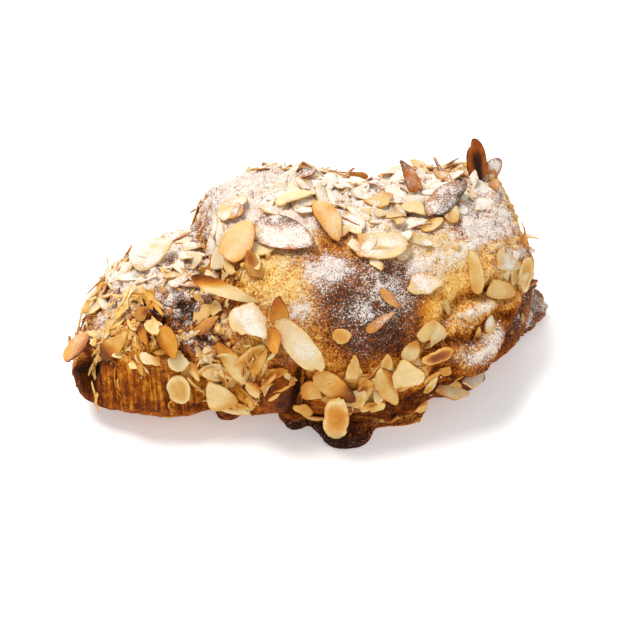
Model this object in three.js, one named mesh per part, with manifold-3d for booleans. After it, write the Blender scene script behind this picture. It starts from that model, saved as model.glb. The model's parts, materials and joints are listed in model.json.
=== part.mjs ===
// An almond croissant: a blunt rolled croissant under a baked almond crust, with its largest almond flakes.
// Millimetres, +Z up. +X runs along the roll, -Y is the front, and the origin is under the middle on the base.
import * as THREE from "three";
import { mergeVertices } from "three/addons/utils/BufferGeometryUtils.js";
import Module from "manifold-3d";

const wasm = await Module();
wasm.setup();

// Driving dimensions
const LENGTH = 164;
const WIDTH = 92;
const HEIGHT = 62;
const GAP = 0.3;

// How finely the roll is faceted
const STATIONS = 58;
const AROUND = 36;
const FOOT_POINTS = 16;
const FLAKE_POINTS = 12;

const HALF_LENGTH = LENGTH / 2;
const DEGREES = Math.PI / 180;

// The roll's profile from the left tip (-1) to the right tip (1). front and back are half-widths as
// shares of WIDTH, top and lift are the heights of the crown and the underside as shares of HEIGHT,
// and slant is how many mm a line about the roll runs ahead at the front and behind at the back.
const PROFILE = [
  { at: -1.0, front: 0.24, back: 0.2, top: 0.53, lift: 0.06, slant: 0 },
  { at: -0.8, front: 0.28, back: 0.33, top: 0.68, lift: 0.02, slant: 2 },
  { at: -0.48, front: 0.3, back: 0.45, top: 0.76, lift: 0.0, slant: 2 },
  { at: -0.3, front: 0.34, back: 0.54, top: 0.92, lift: -0.03, slant: 1 },
  { at: 0.0, front: 0.44, back: 0.64, top: 1.0, lift: -0.05, slant: 0 },
  { at: 0.3, front: 0.46, back: 0.53, top: 0.95, lift: -0.05, slant: -2 },
  { at: 0.6, front: 0.36, back: 0.56, top: 0.91, lift: -0.04, slant: -4 },
  { at: 0.85, front: 0.25, back: 0.58, top: 0.89, lift: -0.02, slant: -3 },
  { at: 1.0, front: 0.16, back: 0.57, top: 0.8, lift: 0.0, slant: 0 },
];
const WIDEST_HEIGHT = 0.42; // where a section is widest, between its underside and its crown
const UPPER_SQUARENESS = 2.2;
const LOWER_SQUARENESS = 2.6;
const LEFT_BLUNTNESS = 8;
const RIGHT_BLUNTNESS = 13;

// The raised edges of the rolled layers, each one stepping down away from the middle
const COIL_EDGES = [
  { at: -0.84, drop: 1.5, reach: 14 },
  { at: -0.36, drop: 7, reach: 18 },
  { at: 0.66, drop: 2, reach: 20 },
];
const EDGE_SOFTNESS = 2.4;

// Swellings (height above 0) and hollows (below 0) of the baked crust; around is 0 at the front and 90 on top
const SWELLINGS = [
  { at: 0.6, around: 0, length: 13, spread: 14, height: 4 },
  { at: 0.8, around: 8, length: 9, spread: 13, height: 4 },
  { at: 0.6, around: 26, length: 22, spread: 9, height: -2 },
  { at: 0.88, around: 32, length: 12, spread: 9, height: -2 },
  { at: -0.97, around: 24, length: 5, spread: 22, height: -3 },
  { at: 0.83, around: 112, length: 5, spread: 9, height: 6 },
];
const UNEVENNESS = 0.45;

// The thin skirts of almond cream baked flat around the base: x, y, half-length, half-width, height, turn
const FEET = [
  { x: 4, y: -33, long: 11.5, wide: 11, thick: 3.4, turn: -8 },
  { x: -10, y: -25, long: 7, wide: 6, thick: 3, turn: 20 },
  { x: 22, y: -30.5, long: 10.5, wide: 7.5, thick: 4, turn: 6 },
  { x: 43, y: -21, long: 15, wide: 6, thick: 3, turn: 4 },
  { x: 76.5, y: 15, long: 14, wide: 12.5, thick: 3.6, turn: 50 },
  { x: -32, y: -17, long: 5, wide: 5, thick: 3, turn: 30 },
];

// The largest almond flakes. at and around place the middle on the crust and lift raises it, in mm.
// heading turns the pointed end from +X towards the crown, pitch lifts that end and tilt lifts the left
// edge as seen along it, in degrees. keep is the share of the length left from the pointed end on a
// broken flake, arch and cup bow it along and across, and toasted ones are baked darker.
const FLAKES = [
  { at: -0.94, around: 78, heading: 255, pitch: 24, tilt: 10, lift: 3.2, long: 14, wide: 6.5, toasted: 1 },
  { at: -0.835, around: 52, heading: 6, pitch: 6, tilt: 14, lift: 1.6, long: 13, wide: 7, toasted: 1 },
  { at: -0.6, around: 102, heading: 2, pitch: 2, tilt: 28, lift: 3.6, long: 15, wide: 9.4 },
  { at: -0.36, around: 60, heading: -50, pitch: -32, tilt: 8, lift: 6, long: 22, wide: 6.4, toasted: 1 },
  { at: -0.3, around: 73, heading: 40, pitch: 2, tilt: -2, lift: 2, long: 15, wide: 11 },
  { at: -0.64, around: 42, heading: -76, pitch: 10, tilt: 8, lift: 2, long: 11, wide: 5.5, toasted: 1 },
  { at: -0.63, around: 6, heading: -88, pitch: 0, tilt: 4, lift: 1.2, long: 10.5, wide: 7 },
  { at: -0.625, around: 29, heading: -30, pitch: 6, tilt: -10, lift: 1.6, long: 9, wide: 7, keep: 0.8 },
  { at: -0.47, around: 0, heading: 92, pitch: 4, tilt: 0, lift: 1.4, long: 15, wide: 8.5, keep: 0.82 },
  { at: -0.385, around: 19, heading: 103, pitch: 4, tilt: 4, lift: 3.2, long: 17, wide: 8.5 },
  { at: -0.32, around: 38, heading: -58, pitch: -3, tilt: 6, lift: 1.8, long: 16, wide: 12, keep: 0.9 },
  { at: -0.275, around: 61, heading: 100, pitch: 30, tilt: 20, lift: 3, long: 10, wide: 6 },
  { at: -0.14, around: 75, heading: -40, pitch: 3, tilt: 8, lift: 2, long: 22, wide: 11.5 },
  { at: -0.205, around: 38, heading: 84, pitch: 36, tilt: 0, lift: 3.6, long: 10, wide: 5.5, toasted: 1 },
  { at: -0.15, around: 25, heading: -51, pitch: 3, tilt: 4, lift: 1.8, long: 23.5, wide: 10 },
  { at: -0.245, around: 27, heading: -80, pitch: 22, tilt: 25, lift: 2.6, long: 8.5, wide: 5, toasted: 1 },
  { at: -0.02, around: 4, heading: -36, pitch: 6, tilt: -6, lift: 2, long: 16, wide: 8, toasted: 1 },
  { at: -0.01, around: -12, heading: -90, pitch: 8, tilt: 0, lift: 3, long: 16, wide: 8.8 },
  { at: -0.11, around: 3, heading: 170, pitch: 4, tilt: 6, lift: 1.6, long: 9.5, wide: 7.5, keep: 0.85 },
  { at: -0.135, around: -12, heading: 8, pitch: 4, tilt: -24, lift: 2, long: 9, wide: 7, toasted: 1 },
  { at: 0.05, around: 14, heading: 86, pitch: 6, tilt: 10, lift: 1.6, long: 10, wide: 4.6 },
  { at: 0.195, around: 3, heading: -62, pitch: 6, tilt: -12, lift: 2, long: 14, wide: 7, toasted: 1 },
  { at: 0.28, around: 9, heading: -20, pitch: 3, tilt: 6, lift: 1.8, long: 15, wide: 11, keep: 0.88 },
  { at: 0.41, around: 15, heading: 172, pitch: 4, tilt: -20, lift: 2.6, long: 12, wide: 6, toasted: 1 },
  { at: 0.42, around: 24, heading: 80, pitch: 6, tilt: -6, lift: 1.6, long: 9.5, wide: 7.8, keep: 0.85 },
  { at: 0.18, around: 35, heading: 38, pitch: 14, tilt: -16, lift: 2.2, long: 10.5, wide: 5 },
  { at: 0.4, around: 50, heading: -12, pitch: 4, tilt: -6, lift: 1.6, long: 12, wide: 7.5 },
  { at: 0.645, around: 45, heading: 76, pitch: 4, tilt: -8, lift: 1.8, long: 13, wide: 7, toasted: 1 },
  { at: 0.87, around: 32, heading: 38, pitch: 4, tilt: -4, lift: 1.6, long: 12, wide: 8.5 },
  { at: 0.75, around: 31, heading: -30, pitch: 4, tilt: 4, lift: 1.6, long: 10, wide: 6 },
  { at: 0.245, around: 69, heading: 6, pitch: 2, tilt: -4, lift: 1.8, long: 19, wide: 12 },
  { at: 0.075, around: 81, heading: -68, pitch: 3, tilt: 6, lift: 1.8, long: 18, wide: 8.4 },
  { at: -0.03, around: 91, heading: 10, pitch: 2, tilt: -10, lift: 2, long: 13, wide: 7.5 },
  { at: -0.29, around: 92, heading: 36, pitch: 2, tilt: -4, lift: 1.8, long: 13.5, wide: 9 },
  { at: 0.3, around: 92, heading: 30, pitch: 4, tilt: 6, lift: 2, long: 11, wide: 7.5, toasted: 1 },
  { at: 0.425, around: 88, heading: -78, pitch: 4, tilt: 8, lift: 1.6, long: 11, wide: 6 },
  { at: 0.58, around: 86, heading: 24, pitch: 4, tilt: 10, lift: 2.8, long: 18, wide: 10 },
  { at: 0.5, around: 103, heading: 92, pitch: 40, tilt: 10, lift: 4, long: 12, wide: 6, toasted: 1 },
  { at: 0.75, around: 103, heading: 82, pitch: 60, tilt: 4, lift: 5.6, long: 14.8, wide: 7.6, toasted: 1 },
  { at: 0.63, around: -10, heading: -24, pitch: 6, tilt: 10, lift: 2.6, long: 14, wide: 5.5 },
  { at: 0.5, around: -9, heading: -24, pitch: 4, tilt: 10, lift: 2.4, long: 12, wide: 6, toasted: 1 },
];
const FLAKE_THICKNESS = 1.1;

const smoothstep = (a, b, v) => {
  const s = Math.min(1, Math.max(0, (v - a) / (b - a)));
  return s * s * (3 - 2 * s);
};

// A Catmull-Rom curve through the profile's rows
function profileAt(share, key) {
  const last = PROFILE.length - 1;
  const next = PROFILE.findIndex((row) => share <= row.at);
  const i = Math.max(0, (next < 0 ? last : next) - 1);
  const t = (share - PROFILE[i].at) / (PROFILE[i + 1].at - PROFILE[i].at);
  const value = (k) => PROFILE[Math.min(last, Math.max(0, k))][key];
  const [a, b, c, d] = [value(i - 1), value(i), value(i + 1), value(i + 2)];
  return b + 0.5 * t * (c - a + t * (2 * a - 5 * b + 4 * c - d + t * (3 * (b - c) + d - a)));
}

// How far the surface stands out at x mm along the roll and around degrees about it
function relief(x, around) {
  let out = 0;
  for (const edge of COIL_EDGES) {
    const inward = Math.sign(edge.at) * (edge.at * HALF_LENGTH - x);
    const step = smoothstep(-EDGE_SOFTNESS, EDGE_SOFTNESS, inward) * Math.exp(-Math.max(0, inward) / edge.reach);
    out += edge.drop * step * smoothstep(-0.9, 0.3, Math.sin(around * DEGREES));
  }
  for (const swelling of SWELLINGS) {
    const dx = (x - swelling.at * HALF_LENGTH) / swelling.length;
    const da = (((around - swelling.around + 540) % 360) - 180) / swelling.spread;
    out += swelling.height * Math.exp(-dx * dx - da * da);
  }
  const turn = around * DEGREES;
  const lumps = Math.sin(0.18 * x + 3 * turn) + Math.sin(0.27 * x - 4 * turn + 1) + Math.sin(0.12 * x + 6 * turn + 2);
  return out + UNEVENNESS * lumps;
}

// A point of the crust, grown outwards by grow mm
function crustPoint(x, around, grow = 0) {
  const share = x / HALF_LENGTH;
  const cos = Math.cos(around * DEGREES);
  const sin = Math.sin(around * DEGREES);
  const half = WIDTH * profileAt(share, cos > 0 ? "front" : "back");
  const top = HEIGHT * profileAt(share, "top");
  const lift = HEIGHT * profileAt(share, "lift");
  const widest = lift + WIDEST_HEIGHT * (top - lift);
  const squareness = sin > 0 ? UPPER_SQUARENESS : LOWER_SQUARENESS;
  const rise = sin > 0 ? top - widest : widest - lift;
  const closing = Math.sqrt(Math.max(0, 1 - Math.abs(share) ** (share < 0 ? LEFT_BLUNTNESS : RIGHT_BLUNTNESS)));
  const middle = (WIDTH * (profileAt(share, "back") - profileAt(share, "front"))) / 2;
  const out = (relief(x, around) + grow) * closing;
  const across = Math.abs(cos) ** (2 / squareness) * (half + Math.sign(cos) * middle);
  const up = Math.abs(sin) ** (2 / squareness) * rise * closing;
  return new THREE.Vector3(
    x * (1 + grow / HALF_LENGTH) + profileAt(share, "slant") * cos * closing,
    middle - Math.sign(cos) * across * closing - cos * out,
    Math.max(0, widest * (0.9 + 0.1 * closing) + Math.sign(sin) * up + sin * out),
  );
}

// Where station i of the loft lies along the roll, closer together at the tips
function stationX(i) {
  const t = (2 * i) / STATIONS - 1;
  return HALF_LENGTH * (0.55 * t + 0.45 * Math.sin((t * Math.PI) / 2));
}

function rollGeometry(grow) {
  const points = [];
  const faces = [];
  for (let i = 1; i < STATIONS; i++)
    for (let j = 0; j < AROUND; j++) points.push(crustPoint(stationX(i), (360 * j) / AROUND, grow));
  const vertex = (i, j) => (i - 1) * AROUND + (j % AROUND);
  for (let i = 1; i < STATIONS - 1; i++)
    for (let j = 0; j < AROUND; j++) {
      const [a, b, c, d] = [vertex(i, j), vertex(i + 1, j), vertex(i + 1, j + 1), vertex(i, j + 1)];
      faces.push(a, b, c, a, c, d);
    }
  const left = points.push(crustPoint(-HALF_LENGTH, 0, grow)) - 1;
  const right = points.push(crustPoint(HALF_LENGTH, 0, grow)) - 1;
  for (let j = 0; j < AROUND; j++) {
    faces.push(left, vertex(1, j), vertex(1, j + 1));
    faces.push(right, vertex(STATIONS - 1, j + 1), vertex(STATIONS - 1, j));
  }
  return closedGeometry(points, faces);
}

// A foot: an irregular flat cake with a rounded rim, standing on the base
function footGeometry(foot, index, grow) {
  const levels = [
    { reach: 0.95, height: 0 },
    { reach: 1, height: 0.35 },
    { reach: 0.86, height: 0.85 },
    { reach: 0.4, height: 1 },
  ];
  const points = [];
  const faces = [];
  const turn = foot.turn * DEGREES;
  for (const { reach, height } of levels)
    for (let j = 0; j < FOOT_POINTS; j++) {
      const a = (360 * DEGREES * j) / FOOT_POINTS;
      const ragged = 1 + 0.09 * Math.sin(3 * a + 2 * index) + 0.06 * Math.sin(5 * a + index);
      const u = (foot.long + grow) * reach * ragged * Math.cos(a);
      const v = (foot.wide + grow) * reach * ragged * Math.sin(a);
      const x = foot.x + u * Math.cos(turn) - v * Math.sin(turn);
      const y = foot.y + u * Math.sin(turn) + v * Math.cos(turn);
      points.push(new THREE.Vector3(x, y, (foot.thick + grow) * height));
    }
  const top = points.push(new THREE.Vector3(foot.x, foot.y, foot.thick + grow)) - 1;
  const bottom = points.push(new THREE.Vector3(foot.x, foot.y, 0)) - 1;
  const vertex = (level, j) => level * FOOT_POINTS + (j % FOOT_POINTS);
  for (let j = 0; j < FOOT_POINTS; j++) {
    faces.push(bottom, vertex(0, j + 1), vertex(0, j));
    faces.push(top, vertex(3, j), vertex(3, j + 1));
    for (let level = 0; level < 3; level++) {
      const [a, b, c, d] = [vertex(level, j), vertex(level, j + 1), vertex(level + 1, j + 1), vertex(level + 1, j)];
      faces.push(a, b, c, a, c, d);
    }
  }
  return closedGeometry(points, faces);
}

// Where a flake sits: its middle, its length and width directions and the way its face looks
function flakeFrame(flake) {
  const x = flake.at * HALF_LENGTH;
  const step = 4;
  const point = crustPoint(x, flake.around);
  const along = crustPoint(x + step, flake.around).sub(crustPoint(x - step, flake.around)).normalize();
  const over = crustPoint(x, flake.around + step).sub(crustPoint(x, flake.around - step));
  const face = new THREE.Vector3().crossVectors(along, over).normalize();
  const length = along.applyAxisAngle(face, flake.heading * DEGREES);
  const middle = point.addScaledVector(face, flake.lift);
  const width = new THREE.Vector3().crossVectors(face, length);
  length.applyAxisAngle(width, -flake.pitch * DEGREES);
  face.applyAxisAngle(width, -flake.pitch * DEGREES);
  width.applyAxisAngle(length, flake.tilt * DEGREES);
  face.applyAxisAngle(length, flake.tilt * DEGREES);
  return { middle, length, width, face };
}

// A flake: a thin bowed almond slice, rounded at one end and pointed at the other, grown outwards by grow mm
function flakeGeometry(flake, index, grow) {
  const { middle, length, width, face } = flakeFrame(flake);
  const halfLong = flake.long / 2 + grow;
  const halfWide = flake.wide / 2 + grow;
  const halfThick = FLAKE_THICKNESS / 2 + grow;
  const broken = halfLong * (1 - 2 * (flake.keep ?? 1));
  const arch = 0.03 * flake.long;
  const cup = 0.35 * Math.sin(2.4 * index);
  const points = [];
  const faces = [];
  const place = (reach, j, side) => {
    const a = (360 * DEGREES * j) / FLAKE_POINTS;
    const ragged = 1 + 0.035 * Math.sin(3 * a + 1.7 * index);
    const u = Math.max(broken, halfLong * Math.cos(a) * ragged) * reach;
    const v = halfWide * Math.sin(a) * (1 - 0.24 * Math.cos(a)) * ragged * reach;
    const bow = arch * (0.4 - (u / halfLong) ** 2) + cup * (0.4 - (v / halfWide) ** 2);
    const point = middle.clone().addScaledVector(length, u).addScaledVector(width, v);
    points.push(point.addScaledVector(face, bow + side * halfThick));
  };
  for (const side of [-1, 1])
    for (const reach of [0.55, 1]) for (let j = 0; j < FLAKE_POINTS; j++) place(reach, j, side);
  place(0, 0, -1);
  place(0, 0, 1);
  const vertex = (ring, j) => ring * FLAKE_POINTS + (j % FLAKE_POINTS);
  const band = (ring, next, j) => {
    const [a, b, c, d] = [vertex(ring, j), vertex(ring, j + 1), vertex(next, j + 1), vertex(next, j)];
    faces.push(a, b, c, a, c, d);
  };
  for (let j = 0; j < FLAKE_POINTS; j++) {
    faces.push(points.length - 2, vertex(0, j + 1), vertex(0, j));
    faces.push(points.length - 1, vertex(2, j), vertex(2, j + 1));
    band(0, 1, j);
    band(1, 3, j);
    band(3, 2, j);
  }
  return closedGeometry(points, faces);
}

function closedGeometry(points, faces) {
  const geometry = new THREE.BufferGeometry().setFromPoints(points);
  geometry.setIndex(faces);
  return geometry;
}

function solidOf(geometry) {
  const bare = new THREE.BufferGeometry().setAttribute("position", geometry.getAttribute("position"));
  bare.setIndex(geometry.getIndex());
  const merged = mergeVertices(bare, 1e-3);
  return new wasm.Manifold(
    new wasm.Mesh({
      numProp: 3,
      vertProperties: new Float32Array(merged.attributes.position.array),
      triVerts: new Uint32Array(merged.index.array),
    }),
  );
}

function geometryOf(solid) {
  const mesh = solid.getMesh();
  const geometry = new THREE.BufferGeometry();
  geometry.setAttribute("position", new THREE.BufferAttribute(new Float32Array(mesh.vertProperties), 3));
  geometry.setIndex(new THREE.BufferAttribute(new Uint32Array(mesh.triVerts), 1));
  geometry.computeVertexNormals();
  return geometry;
}

// The roll on its feet, grown outwards by grow mm
function croissantSolid(grow) {
  const roll = solidOf(rollGeometry(grow));
  return FEET.reduce((body, foot, i) => body.add(solidOf(footGeometry(foot, i, grow))), roll);
}

const largestPiece = (solid) =>
  solid.decompose().reduce((best, piece) => (piece.volume() > best.volume() ? piece : best));

// Each flake is trimmed clear of the crust and of the flakes laid before it
function laidFlakes() {
  let taken = croissantSolid(GAP * 1.4);
  return FLAKES.map((flake, i) => {
    const laid = largestPiece(solidOf(flakeGeometry(flake, i, 0)).subtract(taken));
    taken = taken.add(solidOf(flakeGeometry(flake, i, GAP)));
    return laid;
  });
}

const root = new THREE.Group();
const crust = new THREE.MeshStandardMaterial({ color: 0xc98d4a, roughness: 0.75, metalness: 0 });
const almond = new THREE.MeshStandardMaterial({ color: 0xe9cf9e, roughness: 0.65, metalness: 0 });
const toasted = new THREE.MeshStandardMaterial({ color: 0xb9742f, roughness: 0.6, metalness: 0 });

const parts = [{ name: "croissant", solid: croissantSolid(0), material: crust }];
laidFlakes().forEach((solid, i) => {
  const name = `almond_flake_${String(i + 1).padStart(2, "0")}`;
  parts.push({ name, solid, material: FLAKES[i].toasted ? toasted : almond });
});

// Everything is moved so that the origin is under the middle of the whole, on the base
const whole = new THREE.Box3();
for (const { solid } of parts) {
  const { min, max } = solid.boundingBox();
  whole.expandByPoint(new THREE.Vector3(...min)).expandByPoint(new THREE.Vector3(...max));
}
const centre = whole.getCenter(new THREE.Vector3());
for (const { name, solid, material } of parts) {
  const part = new THREE.Mesh(geometryOf(solid.translate(-centre.x, -centre.y, -whole.min.z)), material.clone());
  part.name = name;
  root.add(part);
}

export default root;
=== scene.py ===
"""An almond croissant: the baked roll, its almond slices, flaky pastry, crumbs and icing sugar."""
import json
import math

import bmesh
import bpy
import numpy as np
from mathutils import Matrix, Vector
from mathutils.bvhtree import BVHTree


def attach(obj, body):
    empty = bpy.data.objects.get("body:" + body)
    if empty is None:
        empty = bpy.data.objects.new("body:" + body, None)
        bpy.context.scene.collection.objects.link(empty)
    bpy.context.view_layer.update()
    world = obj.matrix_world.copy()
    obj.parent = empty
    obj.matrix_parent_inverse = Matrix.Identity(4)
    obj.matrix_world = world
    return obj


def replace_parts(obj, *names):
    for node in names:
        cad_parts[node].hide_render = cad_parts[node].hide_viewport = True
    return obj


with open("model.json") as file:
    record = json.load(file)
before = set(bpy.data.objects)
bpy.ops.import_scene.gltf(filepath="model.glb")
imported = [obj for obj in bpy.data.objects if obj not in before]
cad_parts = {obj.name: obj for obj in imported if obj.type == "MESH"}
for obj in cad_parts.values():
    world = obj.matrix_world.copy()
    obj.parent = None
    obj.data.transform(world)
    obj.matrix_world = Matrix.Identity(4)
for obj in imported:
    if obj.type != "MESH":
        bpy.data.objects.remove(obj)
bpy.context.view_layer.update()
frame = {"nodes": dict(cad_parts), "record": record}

# Lengths are in mm, and become metres where a mesh or an object is made.
MM = 0.001
CRUST_GRAIN = 0.76  # the size of the crust's mesh
LOOSE_SLICES, SHARDS, CRUMBS, SUGAR_GRAINS = 520, 330, 900, 3600

# ---------------------------------------------------------------- the roll's own measure of itself
# share runs from the left tip (-1) to the right tip (1) and around turns about the roll in degrees:
# 0 at the front, 90 on the crown, 180 at the back. The profile's rows are those of
# the CAD loft. In the tables further down, at is a share too.
HALF_LENGTH, WIDTH, HEIGHT = 82.0, 92.0, 62.0
SHIFT = (3.24, 6.70)  # from the loft's origin to the middle of the base
SHARE = (-1.0, -0.8, -0.48, -0.3, 0.0, 0.3, 0.6, 0.85, 1.0)
FRONT = (0.24, 0.28, 0.3, 0.34, 0.44, 0.46, 0.36, 0.25, 0.16)
BACK = (0.2, 0.33, 0.45, 0.54, 0.64, 0.53, 0.56, 0.58, 0.57)
TOP = (0.53, 0.68, 0.76, 0.92, 1.0, 0.95, 0.91, 0.89, 0.8)
LIFT = (0.06, 0.02, 0.0, -0.03, -0.05, -0.05, -0.04, -0.02, 0.0)
WIDEST_AT = 0.42  # how far up the section it is widest
BLUNT, BLUNT_INVERSE = 1.1, 0.91  # how much fuller than an ellipse the section is


def section(share):
    """The section at that share: its middle, half its width, its top, its foot and where it is widest."""
    front, back = WIDTH * np.interp(share, SHARE, FRONT), WIDTH * np.interp(share, SHARE, BACK)
    top, lift = HEIGHT * np.interp(share, SHARE, TOP), HEIGHT * np.interp(share, SHARE, LIFT)
    return (back - front) / 2, (back + front) / 2, top, lift, lift + WIDEST_AT * (top - lift)


def measure(p):
    """The share and around of points p."""
    share = (p[:, 0] + SHIFT[0]) / HALF_LENGTH
    middle, half, top, lift, widest = section(share)
    dy = -(p[:, 1] + SHIFT[1] - middle) / half
    dz = (p[:, 2] - widest) / np.where(p[:, 2] > widest, top - widest, widest - lift)
    turn = np.arctan2(np.sign(dz) * np.abs(dz) ** BLUNT, np.sign(dy) * np.abs(dy) ** BLUNT)
    return share, np.degrees(turn)


def spots(share, around, rows):
    """How strongly blobs (at, around, length in mm, spread in degrees, strength) cover each point."""
    out = np.zeros_like(share, float)
    for at, a, length, spread, strength in rows:
        da = (around - a + 540) % 360 - 180
        along = (share - at) * HALF_LENGTH
        out += strength * np.exp(-((along / length) ** 2) - (da / spread) ** 2)
    return out


# ---------------------------------------------------------------- noise
def clip01(v):
    return np.clip(v, 0, 1)


def cos_sin(degrees):
    return math.cos(math.radians(degrees)), math.sin(math.radians(degrees))


def smoothstep(a, b, v):
    s = clip01((v - a) / (b - a))
    return s * s * (3 - 2 * s)


def lattice(i, seed):
    """A random number from 0 to 1 for each whole-numbered place."""
    n = i[..., 0] * 73856093 ^ i[..., 1] * 19349663 ^ i[..., 2] * 83492791 ^ (seed * 374761393 & 0x7FFFFFFF)
    n = (n ^ (n >> 13)) * 1274126177 & 0x7FFFFFFF
    n = (n ^ (n >> 15)) * 668265263 & 0x7FFFFFFF
    return ((n ^ (n >> 12)) & 0xFFFFF) / 0xFFFFF


def noise(p, size, seed=0):
    """Smooth noise from -1 to 1 with features of that size, which may differ per axis."""
    q = p / np.asarray(size, float)
    i = np.floor(q).astype(np.int64)
    f = q - i
    f = f * f * (3 - 2 * f)
    out = 0
    for c in range(8):
        d = np.array([c & 1, c >> 1 & 1, c >> 2])
        w = np.where(d, f, 1 - f).prod(axis=-1)
        out = out + w * lattice(i + d, seed)
    return out * 2 - 1


def fractal(p, size, seed=0, octaves=3):
    """Noise with finer noise on it, each octave half as large and half as strong."""
    size = np.asarray(size, float)
    total = sum(0.5**k * noise(p, size / 2**k, seed + 17 * k) for k in range(octaves))
    return total / sum(0.5**k for k in range(octaves))


def cells(p, size, seed):
    """Cells of that size: each point's cell as three random numbers, its way from the cell's middle in
    cells, and how near it is to the next cell, from 0 inside to 1 at the gap."""
    q = p / np.asarray(size, float)
    corner = np.floor(q).astype(np.int64)
    first, second = np.full(len(p), 9.0), np.full(len(p), 9.0)
    own, away = np.zeros((len(p), 3)), np.zeros((len(p), 3))
    for c in range(27):
        i = corner + np.array([c % 3, c // 3 % 3, c // 9]) - 1
        lot = np.stack([lattice(i, seed + k) for k in range(3)], -1)
        to = q - (i + 0.15 + 0.7 * lot)
        distance = np.sqrt((to**2).sum(1))
        nearer = distance < first
        second = np.where(nearer, first, np.minimum(second, distance))
        first = np.where(nearer, distance, first)
        own[nearer], away[nearer] = lot[nearer], to[nearer]
    return own, away, 1 - smoothstep(0.0, 0.22, second - first)


# ---------------------------------------------------------------- meshes
def read(mesh):
    """A mesh's points in mm and their normals."""
    p, n = np.empty(len(mesh.vertices) * 3), np.empty(len(mesh.vertices) * 3)
    mesh.vertices.foreach_get("co", p)
    mesh.vertex_normals.foreach_get("vector", n)
    return p.reshape(-1, 3) / MM, n.reshape(-1, 3)


def paint(mesh, **fields):
    """Keeps one number a point under each name, for the materials to read."""
    for name, values in fields.items():
        layer = mesh.attributes.new(name, "FLOAT", "POINT")
        layer.data.foreach_set("value", np.asarray(values, np.float32))


def with_uv(mesh, uv):
    layer = mesh.uv_layers.new(name="grain")
    index = np.empty(len(mesh.loops), np.int64)
    mesh.loops.foreach_get("vertex_index", index)
    layer.data.foreach_set("uv", uv[index].astype(np.float32).ravel())


def add_object(name, data):
    obj = bpy.data.objects.new(name, data)
    bpy.context.scene.collection.objects.link(obj)
    return obj


def piece(name, mesh, material, slot, sharp=None):
    """Makes a piece of the croissant. Edges that turn by more than sharp degrees stay sharp."""
    mesh.shade_smooth()
    if sharp:
        mesh.set_sharp_from_angle(angle=math.radians(sharp))
    mesh.materials.clear()
    mesh.materials.append(material)
    obj = add_object(name, mesh)
    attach(obj, "root")
    return obj


def tube_faces(rings, count, clockwise=False):
    """The faces of a closed tube of rings of count points each, which run clockwise about it or not."""
    faces = []
    for ring in range(0, (rings - 1) * count, count):
        for j in range(count):
            a, b = ring + j, ring + (j + 1) % count
            faces.append((a, b, b + count, a + count) if clockwise else (b, a, a + count, b + count))
    first, last = range(count), range((rings - 1) * count, rings * count)
    ends = (reversed(first), last) if clockwise else (first, reversed(last))
    return [*faces, *map(tuple, ends)]


class Heap:
    """Many small closed shapes gathered into one mesh."""

    def __init__(self):
        self.points, self.faces, self.fields, self.count = [], [], {}, 0

    def add(self, points, faces, **fields):
        self.points.append(points)
        self.faces.extend([tuple(i + self.count for i in f) for f in faces])
        for key, value in fields.items():
            self.fields.setdefault(key, []).append(np.broadcast_to(value, len(points)))
        self.count += len(points)

    def mesh(self, name):
        mesh = bpy.data.meshes.new(name)
        mesh.from_pydata(np.concatenate(self.points) * MM, [], self.faces)
        paint(mesh, **{key: np.concatenate(values) for key, values in self.fields.items()})
        mesh.update()
        return mesh

    def piece(self, name, material, slot, sharp=None):
        return piece(name, self.mesh(name), material, slot, sharp)


class Ground:
    """Finds places on the crust."""

    def __init__(self, mesh):
        self.points, self.normals = read(mesh)
        self.bake = np.zeros(len(self.points), np.float32)
        if "bake" in mesh.attributes:
            mesh.attributes["bake"].data.foreach_get("value", self.bake)
        faces = [tuple(f.vertices) for f in mesh.polygons]
        self.tree = BVHTree.FromPolygons([Vector(v) for v in self.points], faces)

    def hit(self, share, around):
        share = min(0.985, max(-0.985, share))
        middle, half, top, lift, widest = section(share)
        out, up = (math.copysign(abs(v) ** BLUNT_INVERSE, v) for v in cos_sin(around))
        away = Vector((0, -out * half, up * (top - widest if up > 0 else widest - lift)))
        hub = Vector((share * HALF_LENGTH - SHIFT[0], middle - SHIFT[1], widest))
        found = self.tree.ray_cast(hub + 2 * away, -away)[0]
        return found if found is not None else hub + away

    def line(self, path, t, knots):
        """The shares and the points at t on a path of (at, around) pairs, which lie at the knots."""
        ats, arounds = np.array(path).T
        shares = np.interp(t, knots, ats)
        return shares, np.array([self.hit(x, y) for x, y in zip(shares, np.interp(t, knots, arounds))])

    def frame(self, share, around, heading, pitch, tilt, lift):
        """A place on the crust with its directions along the roll and off the crust, turned."""
        point, step = self.hit(share, around), 4
        ahead = step / HALF_LENGTH
        along = (self.hit(share + ahead, around) - self.hit(share - ahead, around)).normalized()
        over = self.hit(share, around + step) - self.hit(share, around - step)
        return turned(point, along, along.cross(over).normalized(), heading, pitch, tilt, lift)


def turned(point, along, face, heading, pitch, tilt, lift):
    """A place lifted off the crust, and its directions turned about the face, the width and the length."""
    length = Matrix.Rotation(math.radians(heading), 3, face) @ along
    width = face.cross(length).normalized()
    length = width.cross(face).normalized()
    middle = point + face * lift
    about_width = Matrix.Rotation(math.radians(-pitch), 3, width)
    length, face = about_width @ length, about_width @ face
    about_length = Matrix.Rotation(math.radians(tilt), 3, length)
    return middle, length, about_length @ width, about_length @ face


def set_down(p, middle, length, width, face):
    return np.asarray(middle) + p @ np.array([length, width, face])


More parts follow.
